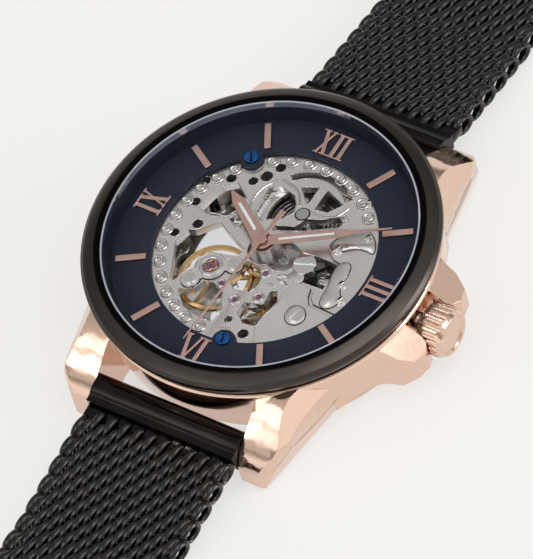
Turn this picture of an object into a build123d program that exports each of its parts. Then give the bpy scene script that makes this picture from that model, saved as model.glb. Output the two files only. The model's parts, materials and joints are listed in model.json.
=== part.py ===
"""Skeleton automatic wristwatch on a woven steel mesh strap, lying open on its case back.

Millimetres. Origin: middle of the case-back rest face. +Z leaves the dial, +Y points to 12 o'clock
and +X to 3 o'clock, along the crown's stem.
"""
from build123d import *
from math import atan2, cos, degrees, hypot, radians, sin
import os

# ---------------------------------------------------------------- driving dimensions
# clearances
SEAT_GAP = 0.02              # faces of fixed pieces that seat on each other
SLIDE_GAP = 0.05             # radial, shafts that turn in a bore
KNUCKLE_GAP = 0.2            # hinge knuckles of the mesh
CLASP_GAP = 0.25
CROWN_GAP = 0.12
LUG_SIDE_GAP = 0.1           # strap to lug, each side

# crystal and bezel
CRYSTAL_RADIUS = 18.3
CRYSTAL_THICKNESS = 1.1
CRYSTAL_BOTTOM = 10.95
GASKET_WIDTH = 0.22
BEZEL_WIDTH = 2.44
BEZEL_LAND = 0.61            # flat ring inside the bezel's slope
BEZEL_TOP = 11.9
BEZEL_INNER_RADIUS = CRYSTAL_RADIUS + GASKET_WIDTH + 2 * SEAT_GAP
BEZEL_RADIUS = BEZEL_INNER_RADIUS + BEZEL_WIDTH

# case, lugs and crown
CASE_TOP = 9.2
CASE_BOTTOM = 1.2
CASE_TOP_RADIUS = BEZEL_RADIUS - 0.3
LUG_GAP = 20.0               # standard strap width between the lugs
LUG_REACH = 3.15             # lug tips beyond the bezel, along the strap
LUG_TIP_Y = BEZEL_RADIUS + LUG_REACH
LUG_WIDTH = 5.1
SPRING_BAR_Y = LUG_TIP_Y - 1.85
SPRING_BAR_Z = 4.2
SPRING_BAR_RADIUS = 0.75
SPRING_BAR_PIVOT_RADIUS = 0.45
SPRING_BAR_PIVOT_LENGTH = 1.0
STEM_Z = 5.85
CROWN_RADIUS = 3.0
CROWN_LENGTH = 3.75
CROWN_INNER_X = BEZEL_RADIUS
CROWN_OUTER_X = CROWN_INNER_X + CROWN_LENGTH
CROWN_FLUTES = 24
GUARD_REACH = CROWN_OUTER_X - 1.15
STEM_RADIUS = 0.55
TUBE_WALL = 0.5
TUBE_OUTER_RADIUS = STEM_RADIUS + SLIDE_GAP + TUBE_WALL

# dial
DIAL_BOTTOM = 8.6
DIAL_THICKNESS = 0.4
DIAL_RADIUS = BEZEL_INNER_RADIUS - 0.36
CASE_BORE_RADIUS = DIAL_RADIUS - 1.2
PLATE_RADIUS = 13.5
DIAL_OPENING_RADIUS = PLATE_RADIUS - 0.25
DIAL_SCREW_PLACES = ((-8.0, 10.1), (2.45, -12.9))
DIAL_SCREW_RADIUS = 0.85
MARKER_INNER_RADIUS = DIAL_OPENING_RADIUS + 0.45
MARKER_LENGTH = 3.6
MARKER_WIDTH = 0.8
MARKER_HEIGHT = 0.4
NUMERAL_HEIGHT = 3.4
NUMERAL_STROKE = 0.5

# movement
PLATE_BOTTOM = 7.3
PLATE_TOP = 8.4
RIM_BOTTOM = 4.2
RIM_INNER_RADIUS = PLATE_RADIUS - 0.6
COVER_THICKNESS = 0.2
CENTRE = (0.0, 0.0)
BARREL = (1.4, 6.0)
THIRD = (1.8, -2.8)
ESCAPE = (0.4, -7.4)
PALLET = (-2.2, -6.0)
BALANCE = (-4.5, -4.6)
BALANCE_RADIUS = 4.5
ROTOR_RADIUS = PLATE_RADIUS - 0.6
BACK_WINDOW_RADIUS = ROTOR_RADIUS + 1.2
BACK_WINDOW_FACE_RADIUS = BACK_WINDOW_RADIUS - 0.7
BACK_FLANGE_RADIUS = CASE_TOP_RADIUS - 2.3
BACK_GASKET_RADII = (CASE_BORE_RADIUS + 0.3, CASE_BORE_RADIUS + 0.7)
ROTOR_BOTTOM = 1.7
BARREL_TEETH = 78
CENTRE_PINION_TEETH = 10
CENTRE_TEETH = 80
THIRD_TEETH = 75
FOURTH_TEETH = 84
TRAIN_PINION_TEETH = 10
ESCAPE_PINION_TEETH = 7
ESCAPE_TEETH = 15
ESCAPE_RADIUS = 2.5
CANNON_TEETH = 12
MINUTE_WHEEL_TEETH = 36
MINUTE_PINION_TEETH = 10
HOUR_WHEEL_TEETH = 40
SETTING_WHEEL_TEETH = 24
CROWN_WHEEL_TEETH = 35
RATCHET_TEETH = 68
WINDING_PINION_TEETH = 16
MOTION_DISTANCE = 2.4        # cannon pinion to minute wheel
CROWN_WHEEL = (7.1, 0.0)

# levels of the wheels along Z: (bottom, top)
CENTRE_WHEEL_LEVEL = (6.95, 7.1)
BARREL_LEVEL = (6.4, 6.75)
THIRD_WHEEL_LEVEL = (5.5, 5.65)
FOURTH_WHEEL_LEVEL = (5.05, 5.17)
ESCAPE_LEVEL = (6.95, 7.07)
BALANCE_LEVEL = (5.95, 6.4)
HAIRSPRING_LEVEL = (5.3, 5.42)
RATCHET_LEVEL = (3.85, 4.15)
BACK_BRIDGE_LEVEL = (3.1, 3.75)
TRAIN_BRIDGE_TOP = 4.6
MINUTE_LEVEL = (7.55, 7.75)
HOUR_LEVEL = (7.9, 8.1)

# hands
HOUR_HAND_ANGLE = 303.7      # clockwise from 12 o'clock
MINUTE_HAND_ANGLE = 59.8
SECONDS_HAND_ANGLE = 183.7
HOUR_HAND_LENGTH = 8.7
MINUTE_HAND_LENGTH = 15.0
SECONDS_HAND_LENGTH = 15.5
SECONDS_TAIL_LENGTH = 4.4
HOUR_HAND_LEVEL = (9.7, 9.85)
MINUTE_HAND_LEVEL = (10.1, 10.25)
SECONDS_HAND_LEVEL = (10.5, 10.62)
SECONDS_PIN_TOP = 10.8
SECONDS_ARBOR_RADIUS = 0.16
CENTRE_TUBE_RADIUS = 0.40
CANNON_PIPE_RADIUS = 0.62
HOUR_PIPE_RADIUS = 0.90

# strap: hinge points of each half as (distance from the dial axis, height of the mesh's middle)
MESH_THICKNESS = 2.8
MESH_WIDTH = LUG_GAP - 2 * LUG_SIDE_GAP
END_TUBE_RADIUS = MESH_THICKNESS / 2 + 0.45
JAW_LENGTH = 0.25
SLOPE_LENGTH = 17.7          # from the spring bar to where the mesh reaches the table
BEND_SPACING = 20.0
LAST_LENGTH_12 = 19.5
LIFT_LENGTH = 22.0
TAIL_LENGTH = 42.0
CLASP_WALL = 1.0
CLASP_FLOOR = 0.7
CLASP_LENGTH = 19.0
CLASP_OFFSET = 18.0          # from the last hinge to the clasp
CLASP_PIN_RADIUS = 0.4
TABLE_GAP = 0.05
FLAT_HEIGHT = MESH_THICKNESS / 2 + TABLE_GAP
CLASP_HEIGHT = FLAT_HEIGHT + CLASP_FLOOR + CLASP_GAP
FIRST_BEND_Y = SPRING_BAR_Y + SLOPE_LENGTH
SECOND_BEND_Y = FIRST_BEND_Y + BEND_SPACING
THIRD_BEND_Y = SECOND_BEND_Y + LIFT_LENGTH
CLASP_START_Y = THIRD_BEND_Y + CLASP_OFFSET
STRAP_START = ((SPRING_BAR_Y, SPRING_BAR_Z), (FIRST_BEND_Y, FLAT_HEIGHT), (SECOND_BEND_Y, FLAT_HEIGHT))
STRAP_12_POINTS = STRAP_START + ((SECOND_BEND_Y + LAST_LENGTH_12, FLAT_HEIGHT),)
STRAP_6_POINTS = STRAP_START + ((THIRD_BEND_Y, CLASP_HEIGHT), (THIRD_BEND_Y + TAIL_LENGTH, CLASP_HEIGHT))

# ---------------------------------------------------------------- helpers
BASE = (Align.CENTER, Align.CENTER, Align.MIN)


def disc(radius, bottom, top, at=CENTRE):
    """Round plate or pin along Z."""
    return Pos(at[0], at[1], bottom) * Cylinder(radius, top - bottom, align=BASE)


def ring(inner, outer, bottom, top, at=CENTRE):
    """Plain washer along Z."""
    return disc(outer, bottom, top, at) - disc(inner, bottom - 1, top + 1, at)


def block(x_range, y_range, z_range):
    """Box between the two ends of each range."""
    size = [r[1] - r[0] for r in (x_range, y_range, z_range)]
    low = (x_range[0], y_range[0], z_range[0])
    return Pos(*low) * Box(*size, align=(Align.MIN, Align.MIN, Align.MIN))


def prism(points, bottom, top):
    """Flat outline extruded along Z."""
    return Pos(0, 0, bottom) * extrude(make_face(Polyline(*points, close=True)), top - bottom)


def rounded_prism(points, bottom, top, radius):
    """Flat outline with rounded corners, extruded along Z."""
    outline = FilletPolyline(*points, radius=radius, close=True)
    return Pos(0, 0, bottom) * extrude(make_face(outline), top - bottom)


def turned(profile):
    """Body of revolution about Z from (radius, height) points."""
    return revolve(Plane.XZ * make_face(Polyline(*profile, close=True)), Axis.Z)


def rod_x(radius, start, end, y=0.0, z=0.0):
    """Round rod along X."""
    return Pos(start, y, z) * Rot(0, 90, 0) * Cylinder(radius, end - start, align=BASE)


def polar(radius, angle, at=CENTRE):
    """Point at an angle, in degrees anticlockwise from +X."""
    return at[0] + radius * cos(radians(angle)), at[1] + radius * sin(radians(angle))


def bearing(start, end):
    """Direction from one place to another, in degrees anticlockwise from +X."""
    return degrees(atan2(end[1] - start[1], end[0] - start[0]))


def module_of(start, end, teeth_a, teeth_b):
    """Module that makes two wheels mesh at their centre distance."""
    return 2 * hypot(end[0] - start[0], end[1] - start[1]) / (teeth_a + teeth_b)


def toothed(teeth, module, level, at, phase):
    """Toothed disc whose tooth points along phase."""
    pitch_radius = teeth * module / 2
    root = pitch_radius - 1.1 * module
    tip = pitch_radius + 0.8 * module
    step = 360 / teeth
    points = []
    for i in range(teeth):
        angle = phase + i * step
        points.append(polar(root, angle - 0.30 * step, at))
        points.append(polar(tip, angle - 0.11 * step, at))
        points.append(polar(tip, angle + 0.11 * step, at))
        points.append(polar(root, angle + 0.30 * step, at))
    return prism(points, level[0], level[1])


def spoked_wheel(teeth, module, level, at, phase, spokes=5, rim=0.45, hub=0.55):
    """Toothed wheel with a rim, straight spokes and a hub."""
    rim_inner = teeth * module / 2 - 1.1 * module - rim
    wheel = toothed(teeth, module, level, at, phase) - disc(rim_inner, level[0] - 1, level[1] + 1, at)
    spoke_width = 0.13 * rim_inner
    for i in range(spokes):
        spoke = block((0, rim_inner + rim / 2), (-spoke_width / 2, spoke_width / 2), level)
        wheel += Pos(at[0], at[1], 0) * Rot(0, 0, i * 360 / spokes) * spoke
    return wheel + disc(hub, level[0], level[1], at)


def spiral_band(inner, outer, turns, width, level, at):
    """Flat spiral spring standing on edge."""
    steps = int(turns * 16)
    left = []
    right = []
    for i in range(steps + 1):
        radius = inner + (outer - inner) * i / steps
        angle = 360 * turns * i / steps
        left.append(polar(radius - width / 2, angle, at))
        right.append(polar(radius + width / 2, angle, at))
    sides = Spline(*left) + Line(left[-1], right[-1]) + Spline(*reversed(right)) + Line(right[0], left[0])
    return Pos(0, 0, level[0]) * extrude(make_face(sides), level[1] - level[0])


def cut_by_plane(part, point, normal):
    """Keep the side of a plane that its normal points away from."""
    return split(part, bisect_by=Plane(origin=point, z_dir=normal), keep=Keep.BOTTOM)


def slotted_screw(at, head_radius, seat, head_height, shank_radius, shank_length, slot_angle):
    """Cheese-head screw along Z with a straight slot."""
    screw = disc(head_radius, seat, seat + head_height, at)
    screw += disc(shank_radius, seat - shank_length, seat, at)
    slot_top = seat + head_height
    slot = block((-head_radius, head_radius), (-0.11, 0.11), (slot_top - 0.5 * head_height, slot_top + 1))
    return screw - Pos(at[0], at[1], 0) * Rot(0, 0, slot_angle) * slot


# ---------------------------------------------------------------- case
def case_lug():
    """Lug at the 1 o'clock corner: a falling curve on top, a swept side, a faceted edge and tip."""
    inner = LUG_GAP / 2
    outer = inner + LUG_WIDTH
    tip = LUG_TIP_Y
    root = tip - 14.15
    top = CASE_TOP - 0.1
    crest = Spline((tip - 8.15, top), (tip - 3.4, 6.7), (tip - 0.1, 3.1), tangents=((1, -0.1), (0.45, -1)))
    rest = Polyline((tip - 0.1, 3.1), (tip, 2.6), (tip, 0.5), (tip - 0.35, 0.15), (tip - 2.65, 0.1),
                    (tip - 7.15, 0.7),
                    (root, CASE_BOTTOM), (root, top), (tip - 8.15, top))
    lug = extrude(Plane.YZ * make_face(Wire(crest.edges() + rest.edges())), outer + 4)
    sweep = Spline((outer + 2.1, root), (outer + 0.55, tip - 9.15), (outer, tip - 4.15),
                   tangents=((-0.5, 1), (0.03, 1)))
    edge = Polyline((outer, tip - 4.15), (outer - 0.9, tip - 1.7), (outer - 2.5, tip), (inner, tip),
                    (inner, root),
                    (outer + 2.1, root))
    lug &= extrude(make_face(Wire(sweep.edges() + edge.edges())), CASE_TOP)
    lug = cut_by_plane(lug, (outer - 0.6, tip - 4.15, 6.6), (0.80, 0.22, 0.56))
    return cut_by_plane(lug, (outer - 0.9, tip - 4.15, 2.0), (0.93, 0.15, -0.33))


def crown_guard():
    """Shoulder beside the crown on its 1 o'clock side, swept back into the case."""
    inner = CROWN_RADIUS - 0.45
    root = CASE_BORE_RADIUS - 1
    low, high = 2.4, CASE_TOP - 0.35
    sweep = Spline((GUARD_REACH - 2.0, CROWN_RADIUS + 3.5), (GUARD_REACH - 5.0, CROWN_RADIUS + 4.6),
                   (root, CROWN_RADIUS + 9.5), tangents=((-1, 0.1), (-0.6, 1)))
    edge = Polyline((root, CROWN_RADIUS + 9.5), (root, inner), (GUARD_REACH - 0.6, inner),
                    (GUARD_REACH, CROWN_RADIUS + 0.9), (GUARD_REACH - 0.4, CROWN_RADIUS + 2.5),
                    (GUARD_REACH - 2.0, CROWN_RADIUS + 3.5))
    guard = Pos(0, 0, low) * extrude(make_face(Wire(sweep.edges() + edge.edges())), high - low)
    guard = cut_by_plane(guard, (GUARD_REACH - 0.5, CROWN_RADIUS + 1, 7.1), (0.52, 0.1, 0.85))
    return cut_by_plane(guard, (GUARD_REACH - 0.5, CROWN_RADIUS + 1, 3.6), (0.6, 0.1, -0.79))


def mid_case():
    """Case band with four lugs, two crown guards and the stem opening."""
    top = CASE_TOP_RADIUS
    hollow = CASE_BORE_RADIUS - 3
    band = turned(((hollow, CASE_BOTTOM), (top - 2.15, CASE_BOTTOM), (top - 0.8, 3.0), (top - 0.25, 6.0),
                   (top, CASE_TOP - 0.3), (top - 0.2, CASE_TOP), (hollow, CASE_TOP)))
    lug = case_lug()
    guard = crown_guard()
    for piece in (lug, mirror(lug, about=Plane.YZ), mirror(lug, about=Plane.XZ), Rot(0, 0, 180) * lug,
                  guard, mirror(guard, about=Plane.XZ)):
        band += piece
    band -= disc(CASE_BORE_RADIUS, 0, CASE_TOP + 1)
    band -= disc(BEZEL_INNER_RADIUS, DIAL_BOTTOM, CASE_TOP + 1)
    band -= disc(BACK_FLANGE_RADIUS + SEAT_GAP, -1, CASE_BOTTOM)
    band -= rod_x(CROWN_RADIUS + CROWN_GAP, CROWN_INNER_X - 0.25, CROWN_OUTER_X + 2, z=STEM_Z)
    band -= rod_x(TUBE_OUTER_RADIUS + SEAT_GAP, hollow, CROWN_INNER_X + 2, z=STEM_Z)
    reach = LUG_GAP / 2 + SPRING_BAR_PIVOT_LENGTH + 0.1
    for y in (SPRING_BAR_Y, -SPRING_BAR_Y):
        band -= rod_x(SPRING_BAR_PIVOT_RADIUS + SLIDE_GAP, -reach, reach, y, SPRING_BAR_Z)
    return band


def bezel():
    """Black ring with a flat land inside and a rounded slope outside."""
    inner = BEZEL_INNER_RADIUS
    outer = BEZEL_RADIUS
    land = inner + BEZEL_LAND
    foot = CASE_TOP + SEAT_GAP
    return turned(((inner, foot), (outer - 0.65, foot), (outer - 0.55, 9.7), (outer - 0.08, 10.25),
                   (outer, 10.6), (outer - 0.02, 11.0), (outer - 0.4, 11.35), (outer - 1.0, 11.65),
                   (land + 0.13, BEZEL_TOP - 0.03), (land, BEZEL_TOP), (inner, BEZEL_TOP)))


def crystal():
    """Flat sapphire with a bevelled upper edge."""
    top = CRYSTAL_BOTTOM + CRYSTAL_THICKNESS
    return turned(((0, CRYSTAL_BOTTOM), (CRYSTAL_RADIUS, CRYSTAL_BOTTOM), (CRYSTAL_RADIUS, top - 0.25),
                   (CRYSTAL_RADIUS - 0.25, top), (0, top)))


def gaskets():
    """Crystal gasket and case-back O-ring."""
    inner = CRYSTAL_RADIUS + SEAT_GAP
    outer = BEZEL_INNER_RADIUS - SEAT_GAP
    crystal_gasket = ring(inner, outer, CRYSTAL_BOTTOM, BEZEL_TOP - 0.05)
    back_gasket = ring(*BACK_GASKET_RADII, CASE_BOTTOM - 0.35, CASE_BOTTOM - SEAT_GAP)
    return Compound([crystal_gasket.solid(), back_gasket.solid()])


def inner_flange():
    """Sloping ring between the dial's edge and the crystal."""
    foot = DIAL_BOTTOM + DIAL_THICKNESS + SEAT_GAP
    outer = BEZEL_INNER_RADIUS - SEAT_GAP
    top = CRYSTAL_BOTTOM - SEAT_GAP
    return turned(((outer - 0.7, foot), (outer, foot), (outer, top), (outer - 0.3, top)))


def case_back():
    """Back ring with a spigot, a window seat and six key notches."""
    back = ring(BACK_WINDOW_FACE_RADIUS, BACK_FLANGE_RADIUS, 0, CASE_BOTTOM - SEAT_GAP)
    back += ring(BACK_WINDOW_RADIUS, CASE_BORE_RADIUS - SEAT_GAP, 0.6, 2.6)
    back -= disc(BACK_WINDOW_RADIUS, 0.6, 3)
    inner, outer = BACK_GASKET_RADII
    back -= ring(inner - SEAT_GAP, outer + SEAT_GAP, CASE_BOTTOM - 0.37, CASE_BOTTOM + 0.1)
    for i in range(6):
        notch = (CASE_BORE_RADIUS - 0.8, CASE_BORE_RADIUS + 0.2)
        back -= Rot(0, 0, 60 * i) * block(notch, (-0.9, 0.9), (-1, 0.35))
    return back


def back_window():
    """Display glass, flush with the rest face of the case back."""
    lower = disc(BACK_WINDOW_FACE_RADIUS - SEAT_GAP, 0, 0.6 + SEAT_GAP)
    return lower + disc(BACK_WINDOW_RADIUS - SEAT_GAP, 0.6 + SEAT_GAP, 1.4)


def crown_tube():
    """Tube pressed into the case for the stem."""
    start = CASE_BORE_RADIUS + 0.1
    tube = rod_x(TUBE_OUTER_RADIUS, start, CROWN_INNER_X - 0.1, z=STEM_Z)
    return tube - rod_x(STEM_RADIUS + SLIDE_GAP, start - 1, CROWN_OUTER_X, z=STEM_Z)


def spring_bars():
    """Two sprung bars, each with a thinner pivot at both ends."""
    bars = []
    half = LUG_GAP / 2 - 0.05
    tip = LUG_GAP / 2 + SPRING_BAR_PIVOT_LENGTH
    for y in (SPRING_BAR_Y, -SPRING_BAR_Y):
        bar = rod_x(SPRING_BAR_RADIUS, -half, half, y, SPRING_BAR_Z)
        bar += rod_x(SPRING_BAR_PIVOT_RADIUS, -tip, tip, y, SPRING_BAR_Z)
        bars.append(bar.solid())
    return Compound(bars)


# ---------------------------------------------------------------- dial
def dial():
    """Dial ring with two round tabs under its screws."""
    top = DIAL_BOTTOM + DIAL_THICKNESS
    plate = ring(DIAL_OPENING_RADIUS, DIAL_RADIUS, DIAL_BOTTOM, top)
    for place in DIAL_SCREW_PLACES:
        plate += disc(1.35, DIAL_BOTTOM, top, place)
    for place in DIAL_SCREW_PLACES:
        plate -= disc(0.45, DIAL_BOTTOM - 1, top + 1, place)
    return plate


def dial_screws():
    """Two slotted screws that hold the dial."""
    seat = DIAL_BOTTOM + DIAL_THICKNESS
    screws = [slotted_screw(DIAL_SCREW_PLACES[0], DIAL_SCREW_RADIUS, seat, 0.35, 0.42, 0.55, 125),
              slotted_screw(DIAL_SCREW_PLACES[1], DIAL_SCREW_RADIUS, seat, 0.35, 0.42, 0.55, 95)]
    return Compound([screw.solid() for screw in screws])


def numeral_bar(x, lean, height, stroke):
    """One stroke of a numeral, leaning by its top's offset, with a serif at both ends."""
    half = height / 2
    bar = make_face(Polyline((x - lean - stroke / 2, -half), (x - lean + stroke / 2, -half),
                             (x + lean + stroke / 2, half), (x + lean - stroke / 2, half), close=True))
    for end, shift in ((-half, -lean), (half, lean)):
        bar += Pos(x + shift, end * 0.94) * Rectangle(stroke * 2.1, height * 0.06)
    return bar


def roman(text):
    """Flat face of a roman numeral, centred on its own middle."""
    widths = {"I": 1.0, "V": 1.9, "X": 2.0}
    x = -sum(widths[letter] for letter in text) / 2
    face = Sketch()
    for letter in text:
        middle = x + widths[letter] / 2
        if letter == "I":
            face += numeral_bar(middle, 0, NUMERAL_HEIGHT, NUMERAL_STROKE)
        if letter == "V":
            face += numeral_bar(middle - 0.42, -0.42, NUMERAL_HEIGHT, NUMERAL_STROKE)
            face += numeral_bar(middle + 0.42, 0.42, NUMERAL_HEIGHT, NUMERAL_STROKE * 0.6)
        if letter == "X":
            face += numeral_bar(middle, -0.5, NUMERAL_HEIGHT, NUMERAL_STROKE)
            face += numeral_bar(middle, 0.5, NUMERAL_HEIGHT, NUMERAL_STROKE * 0.6)
        x += widths[letter]
    return face


def applied_markers():
    """Eight baton markers and the four numerals at the quarters, each a solid of its own."""
    seat = DIAL_BOTTOM + DIAL_THICKNESS
    solids = []
    for hour in range(12):
        if hour % 3:
            end = MARKER_INNER_RADIUS + MARKER_LENGTH
            baton = block((MARKER_INNER_RADIUS, end), (-MARKER_WIDTH / 2, MARKER_WIDTH / 2),
                          (seat, seat + MARKER_HEIGHT))
            solids.append((Rot(0, 0, 90 - 30 * hour) * baton).solid())
    middle = MARKER_INNER_RADIUS + NUMERAL_HEIGHT / 2
    for text, x, y, turn in (("XII", 0, middle, 0), ("III", middle, 0, -90), ("VI", 0, -middle, 0),
                             ("IX", -middle, 0, 90)):
        letter = Pos(x, y, seat) * Rot(0, 0, turn) * extrude(roman(text), MARKER_HEIGHT * 0.8)
        solids.extend(letter.solids())
    return Compound(solids)


# ---------------------------------------------------------------- hands
def hand_blade(widths, level, clockwise, bore, collet):
    """Flat hand from (distance, half width) pairs, symmetric about its length, with a round eye."""
    outline = [(x, w) for x, w in widths] + [(x, -w) for x, w in reversed(widths)]
    blade = prism(outline, level[0], level[1]) + disc(collet, level[0], level[1])
    blade -= disc(bore, level[0] - 1, level[1] + 1)
    return Rot(0, 0, 90 - clockwise) * blade


def hour_hand():
    """Hour hand with a shallow slot for the luminous fill."""
    length = HOUR_HAND_LENGTH
    widths = ((0, 0.95), (length * 0.80, 0.72), (length, 0.12))
    hand = hand_blade(widths, HOUR_HAND_LEVEL, HOUR_HAND_ANGLE, HOUR_PIPE_RADIUS, 1.35)
    slot = block((length * 0.24, length * 0.76), (-0.22, 0.22), (HOUR_HAND_LEVEL[1] - 0.05, 20))
    return hand - Rot(0, 0, 90 - HOUR_HAND_ANGLE) * slot


def minute_hand():
    """Minute hand with a shallow slot for the luminous fill."""
    length = MINUTE_HAND_LENGTH
    widths = ((0, 0.70), (length * 0.58, 0.58), (length * 0.72, 0.22), (length, 0.10))
    hand = hand_blade(widths, MINUTE_HAND_LEVEL, MINUTE_HAND_ANGLE, CANNON_PIPE_RADIUS, 1.1)
    slot = block((length * 0.12, length * 0.56), (-0.18, 0.18), (MINUTE_HAND_LEVEL[1] - 0.05, 20))
    return hand - Rot(0, 0, 90 - MINUTE_HAND_ANGLE) * slot


def seconds_hand():
    """Thin seconds hand with a widening tail and a small cap."""
    widths = ((-SECONDS_TAIL_LENGTH, 0.40), (-1.2, 0.24), (0, 0.22), (SECONDS_HAND_LENGTH, 0.08))
    bore = SECONDS_ARBOR_RADIUS
    hand = hand_blade(widths, SECONDS_HAND_LEVEL, SECONDS_HAND_ANGLE, bore, 0.62)
    return hand + ring(bore, 0.38, SECONDS_HAND_LEVEL[0] - 0.12, SECONDS_PIN_TOP - 0.05)


# ---------------------------------------------------------------- plates and bridges
def plate_windows():
    """Openings of the skeleton plate that look into the movement."""
    low = RIM_BOTTOM
    high = PLATE_TOP + 1
    shapes = [
        ((-9.9, 4.0), (-9.3, 5.8), (-7.9, 6.8), (-5.9, 5.4), (-5.7, 3.6), (-6.6, 2.1), (-8.4, 1.5),
         (-10.3, 1.9)),
        ((-4.1, 4.1), (-4.2, 8.0), (-2.8, 8.4), (-0.8, 7.9), (0.0, 6.9), (0.35, 5.8), (-0.4, 4.6),
         (-2.7, 3.3)),
        ((-1.0, 2.5), (-0.7, 3.4), (1.4, 4.1), (2.2, 5.6), (4.0, 6.3), (6.2, 7.8), (7.0, 7.1),
         (6.2, 6.0), (2.6, 3.9)),
        ((-10.4, -3.1), (-9.9, -1.2), (-8.9, -0.9), (-6.9, 1.3), (-5.4, 0.4), (-2.2, -0.9), (-2.5, -2.1),
         (-3.8, -2.5), (-5.6, -2.8), (-6.5, -4.1), (-6.4, -5.6), (-7.2, -6.6), (-7.4, -7.9), (-8.0, -8.1)),
        ((-1.2, -2.1), (0.6, -2.3), (1.7, -3.6), (1.9, -4.6), (1.4, -5.8), (-0.4, -6.2), (-1.5, -5.5),
         (-1.0, -3.8)),
        ((-6.6, -8.7), (-4.9, -8.0), (-4.3, -6.5), (-3.1, -6.3), (-1.4, -7.0), (-0.9, -8.3), (-0.2, -9.2),
         (-0.4, -11.1), (-2.4, -11.1), (-4.6, -10.6)),
        ((3.6, -4.7), (4.3, -4.3), (5.2, -5.7), (4.7, -7.8), (4.6, -9.6), (3.0, -9.8), (1.6, -8.7),
         (1.6, -7.2), (3.8, -6.6)),
        ((5.7, 1.7), (8.9, 1.6), (9.1, 0.0), (9.1, -2.1), (5.9, -2.2)),
        ((-5.9, 2.7), (-4.2, 1.5), (-4.5, 1.1), (-6.2, 2.0)),
    ]
    windows = [rounded_prism(shape, low, high, 0.2) for shape in shapes]
    arc_slot = ring(5.0, 5.95, low, high, BARREL)
    keep = prism((BARREL, polar(9, 43, BARREL), polar(9, 90, BARREL), polar(9, 135, BARREL)), low, high)
    windows.append(arc_slot & keep)
    windows.append(rounded_prism(((-0.8, 9.2), (1.3, 10.1), (1.3, 7.2)), low, high, 0.15))
    windows.append(rounded_prism(((2.3, 10.1), (5.2, 9.0), (4.0, 7.3), (2.3, 7.1)), low, high, 0.15))
    return windows


PLATE_HOLES = ((-9.0, 7.0, 0.65), (-11.1, 2.5, 0.6), (-11.1, -2.2, 0.6), (-9.2, -0.1, 0.65),
               (-4.4, 10.6, 0.65),
               (-5.3, 8.9, 0.75), (-6.4, 7.7, 0.6), (-11.6, 5.5, 0.6), (3.8, -11.0, 0.65), (1.2, -10.0, 0.5))


def minute_wheel_place():
    """Centre of the minute wheel, on the stem side of the centre."""
    return (MOTION_DISTANCE, 0.0)


def motion_module():
    """Module of the cannon pinion and minute wheel."""
    return 2 * MOTION_DISTANCE / (CANNON_TEETH + MINUTE_WHEEL_TEETH)


def setting_wheel_place():
    """Centre of the setting wheel, in mesh with the minute wheel."""
    reach = motion_module() * (MINUTE_WHEEL_TEETH + SETTING_WHEEL_TEETH) / 2
    return (MOTION_DISTANCE + reach, 0.0)


def fourth_place():
    """Centre of the fourth wheel, beside the third wheel and as far from it as the centre is."""
    reach = hypot(THIRD[0], THIRD[1])
    return polar(reach, -72.7, THIRD)


def pivot_places():
    """Places of the jewelled pivots in the plate."""
    return (THIRD, fourth_place(), ESCAPE, PALLET)


def main_plate():
    """Skeleton plate with a deep rim, wheel pivots, and pockets for the motion work and stem."""
    plate = disc(PLATE_RADIUS, PLATE_BOTTOM, PLATE_TOP)
    plate += ring(RIM_INNER_RADIUS, PLATE_RADIUS, RIM_BOTTOM, PLATE_BOTTOM)
    for window in plate_windows():
        plate -= window & disc(RIM_INNER_RADIUS - 0.3, 0, 20)
    for x, y, radius in PLATE_HOLES:
        plate -= disc(radius, 0, 20, (x, y))
    for place in DIAL_SCREW_PLACES:
        plate -= disc(1.45, PLATE_TOP - 0.5, 20, place)
        plate -= disc(0.45, PLATE_BOTTOM, 20, place)
    for place, radius in ((CENTRE, 2.1), (minute_wheel_place(), 2.05), (setting_wheel_place(), 1.4)):
        plate -= disc(radius, 7.5, 20, place)
    plate -= disc(1.0, 0, 20)
    for place in pivot_places():
        plate -= disc(0.42, 0, 20, place)
    plate -= disc(0.95, 0, 20, BARREL)
    plate -= disc(0.95, 0, 20, BALANCE)
    plate -= rod_x(STEM_RADIUS + 0.3, 5, 20, z=STEM_Z)
    for x, y, radius in plate_screw_places():
        plate -= disc(radius * 0.6 + SEAT_GAP, PLATE_TOP - 0.7, 20, (x, y))
    for place in (minute_wheel_place(), setting_wheel_place()):
        plate += disc(0.22, 7.4, MINUTE_LEVEL[1] + 0.3, place)
    return plate


def plate_screw_places():
    """Small screws seated straight on the plate: x, y and head radius."""
    return ((4.0, -2.6, 0.6), (-4.9, 1.9, 0.5), (7.7, 10.4, 0.5))


def keyless_cover():
    """Two thin steel cover plates over the winding and setting work."""
    low = PLATE_TOP + SEAT_GAP
    high = low + COVER_THICKNESS
    lower = ((5.1, -2.5), (5.9, -2.5), (7.8, -2.6), (8.1, -3.7), (8.8, -4.7), (12.0, -5.0), (16.0, -8.0),
             (8.0, -16.0), (4.7, -9.8), (4.8, -8.0), (5.5, -6.0), (5.1, -4.6))
    upper = ((8.2, -2.5), (9.6, -2.2), (9.6, 1.7), (8.2, 1.9), (7.2, 2.6), (7.0, 4.0), (7.7, 5.6), (9.0, 6.3),
             (10.4, 7.5), (14.0, 7.0), (15.0, 0.0), (14.0, -4.6), (9.2, -4.3), (8.5, -3.6))
    limit = disc(PLATE_RADIUS - 0.35, low, high)
    plates = [rounded_prism(shape, low, high, 0.15) & limit for shape in (lower, upper)]
    for x, y, radius in cover_screw_places():
        plates = [plate - disc(radius * 0.6 + SEAT_GAP, 0, 20, (x, y)) for plate in plates]
    return Compound([plate.solid() for plate in plates])


def cover_screw_places():
    """Screws on the cover plates: x, y and head radius."""
    return ((8.2, -6.3, 0.95), (10.9, -0.8, 0.55), (11.9, -2.7, 0.55), (7.9, 3.2, 0.6), (10.4, 6.0, 0.55))


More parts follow.
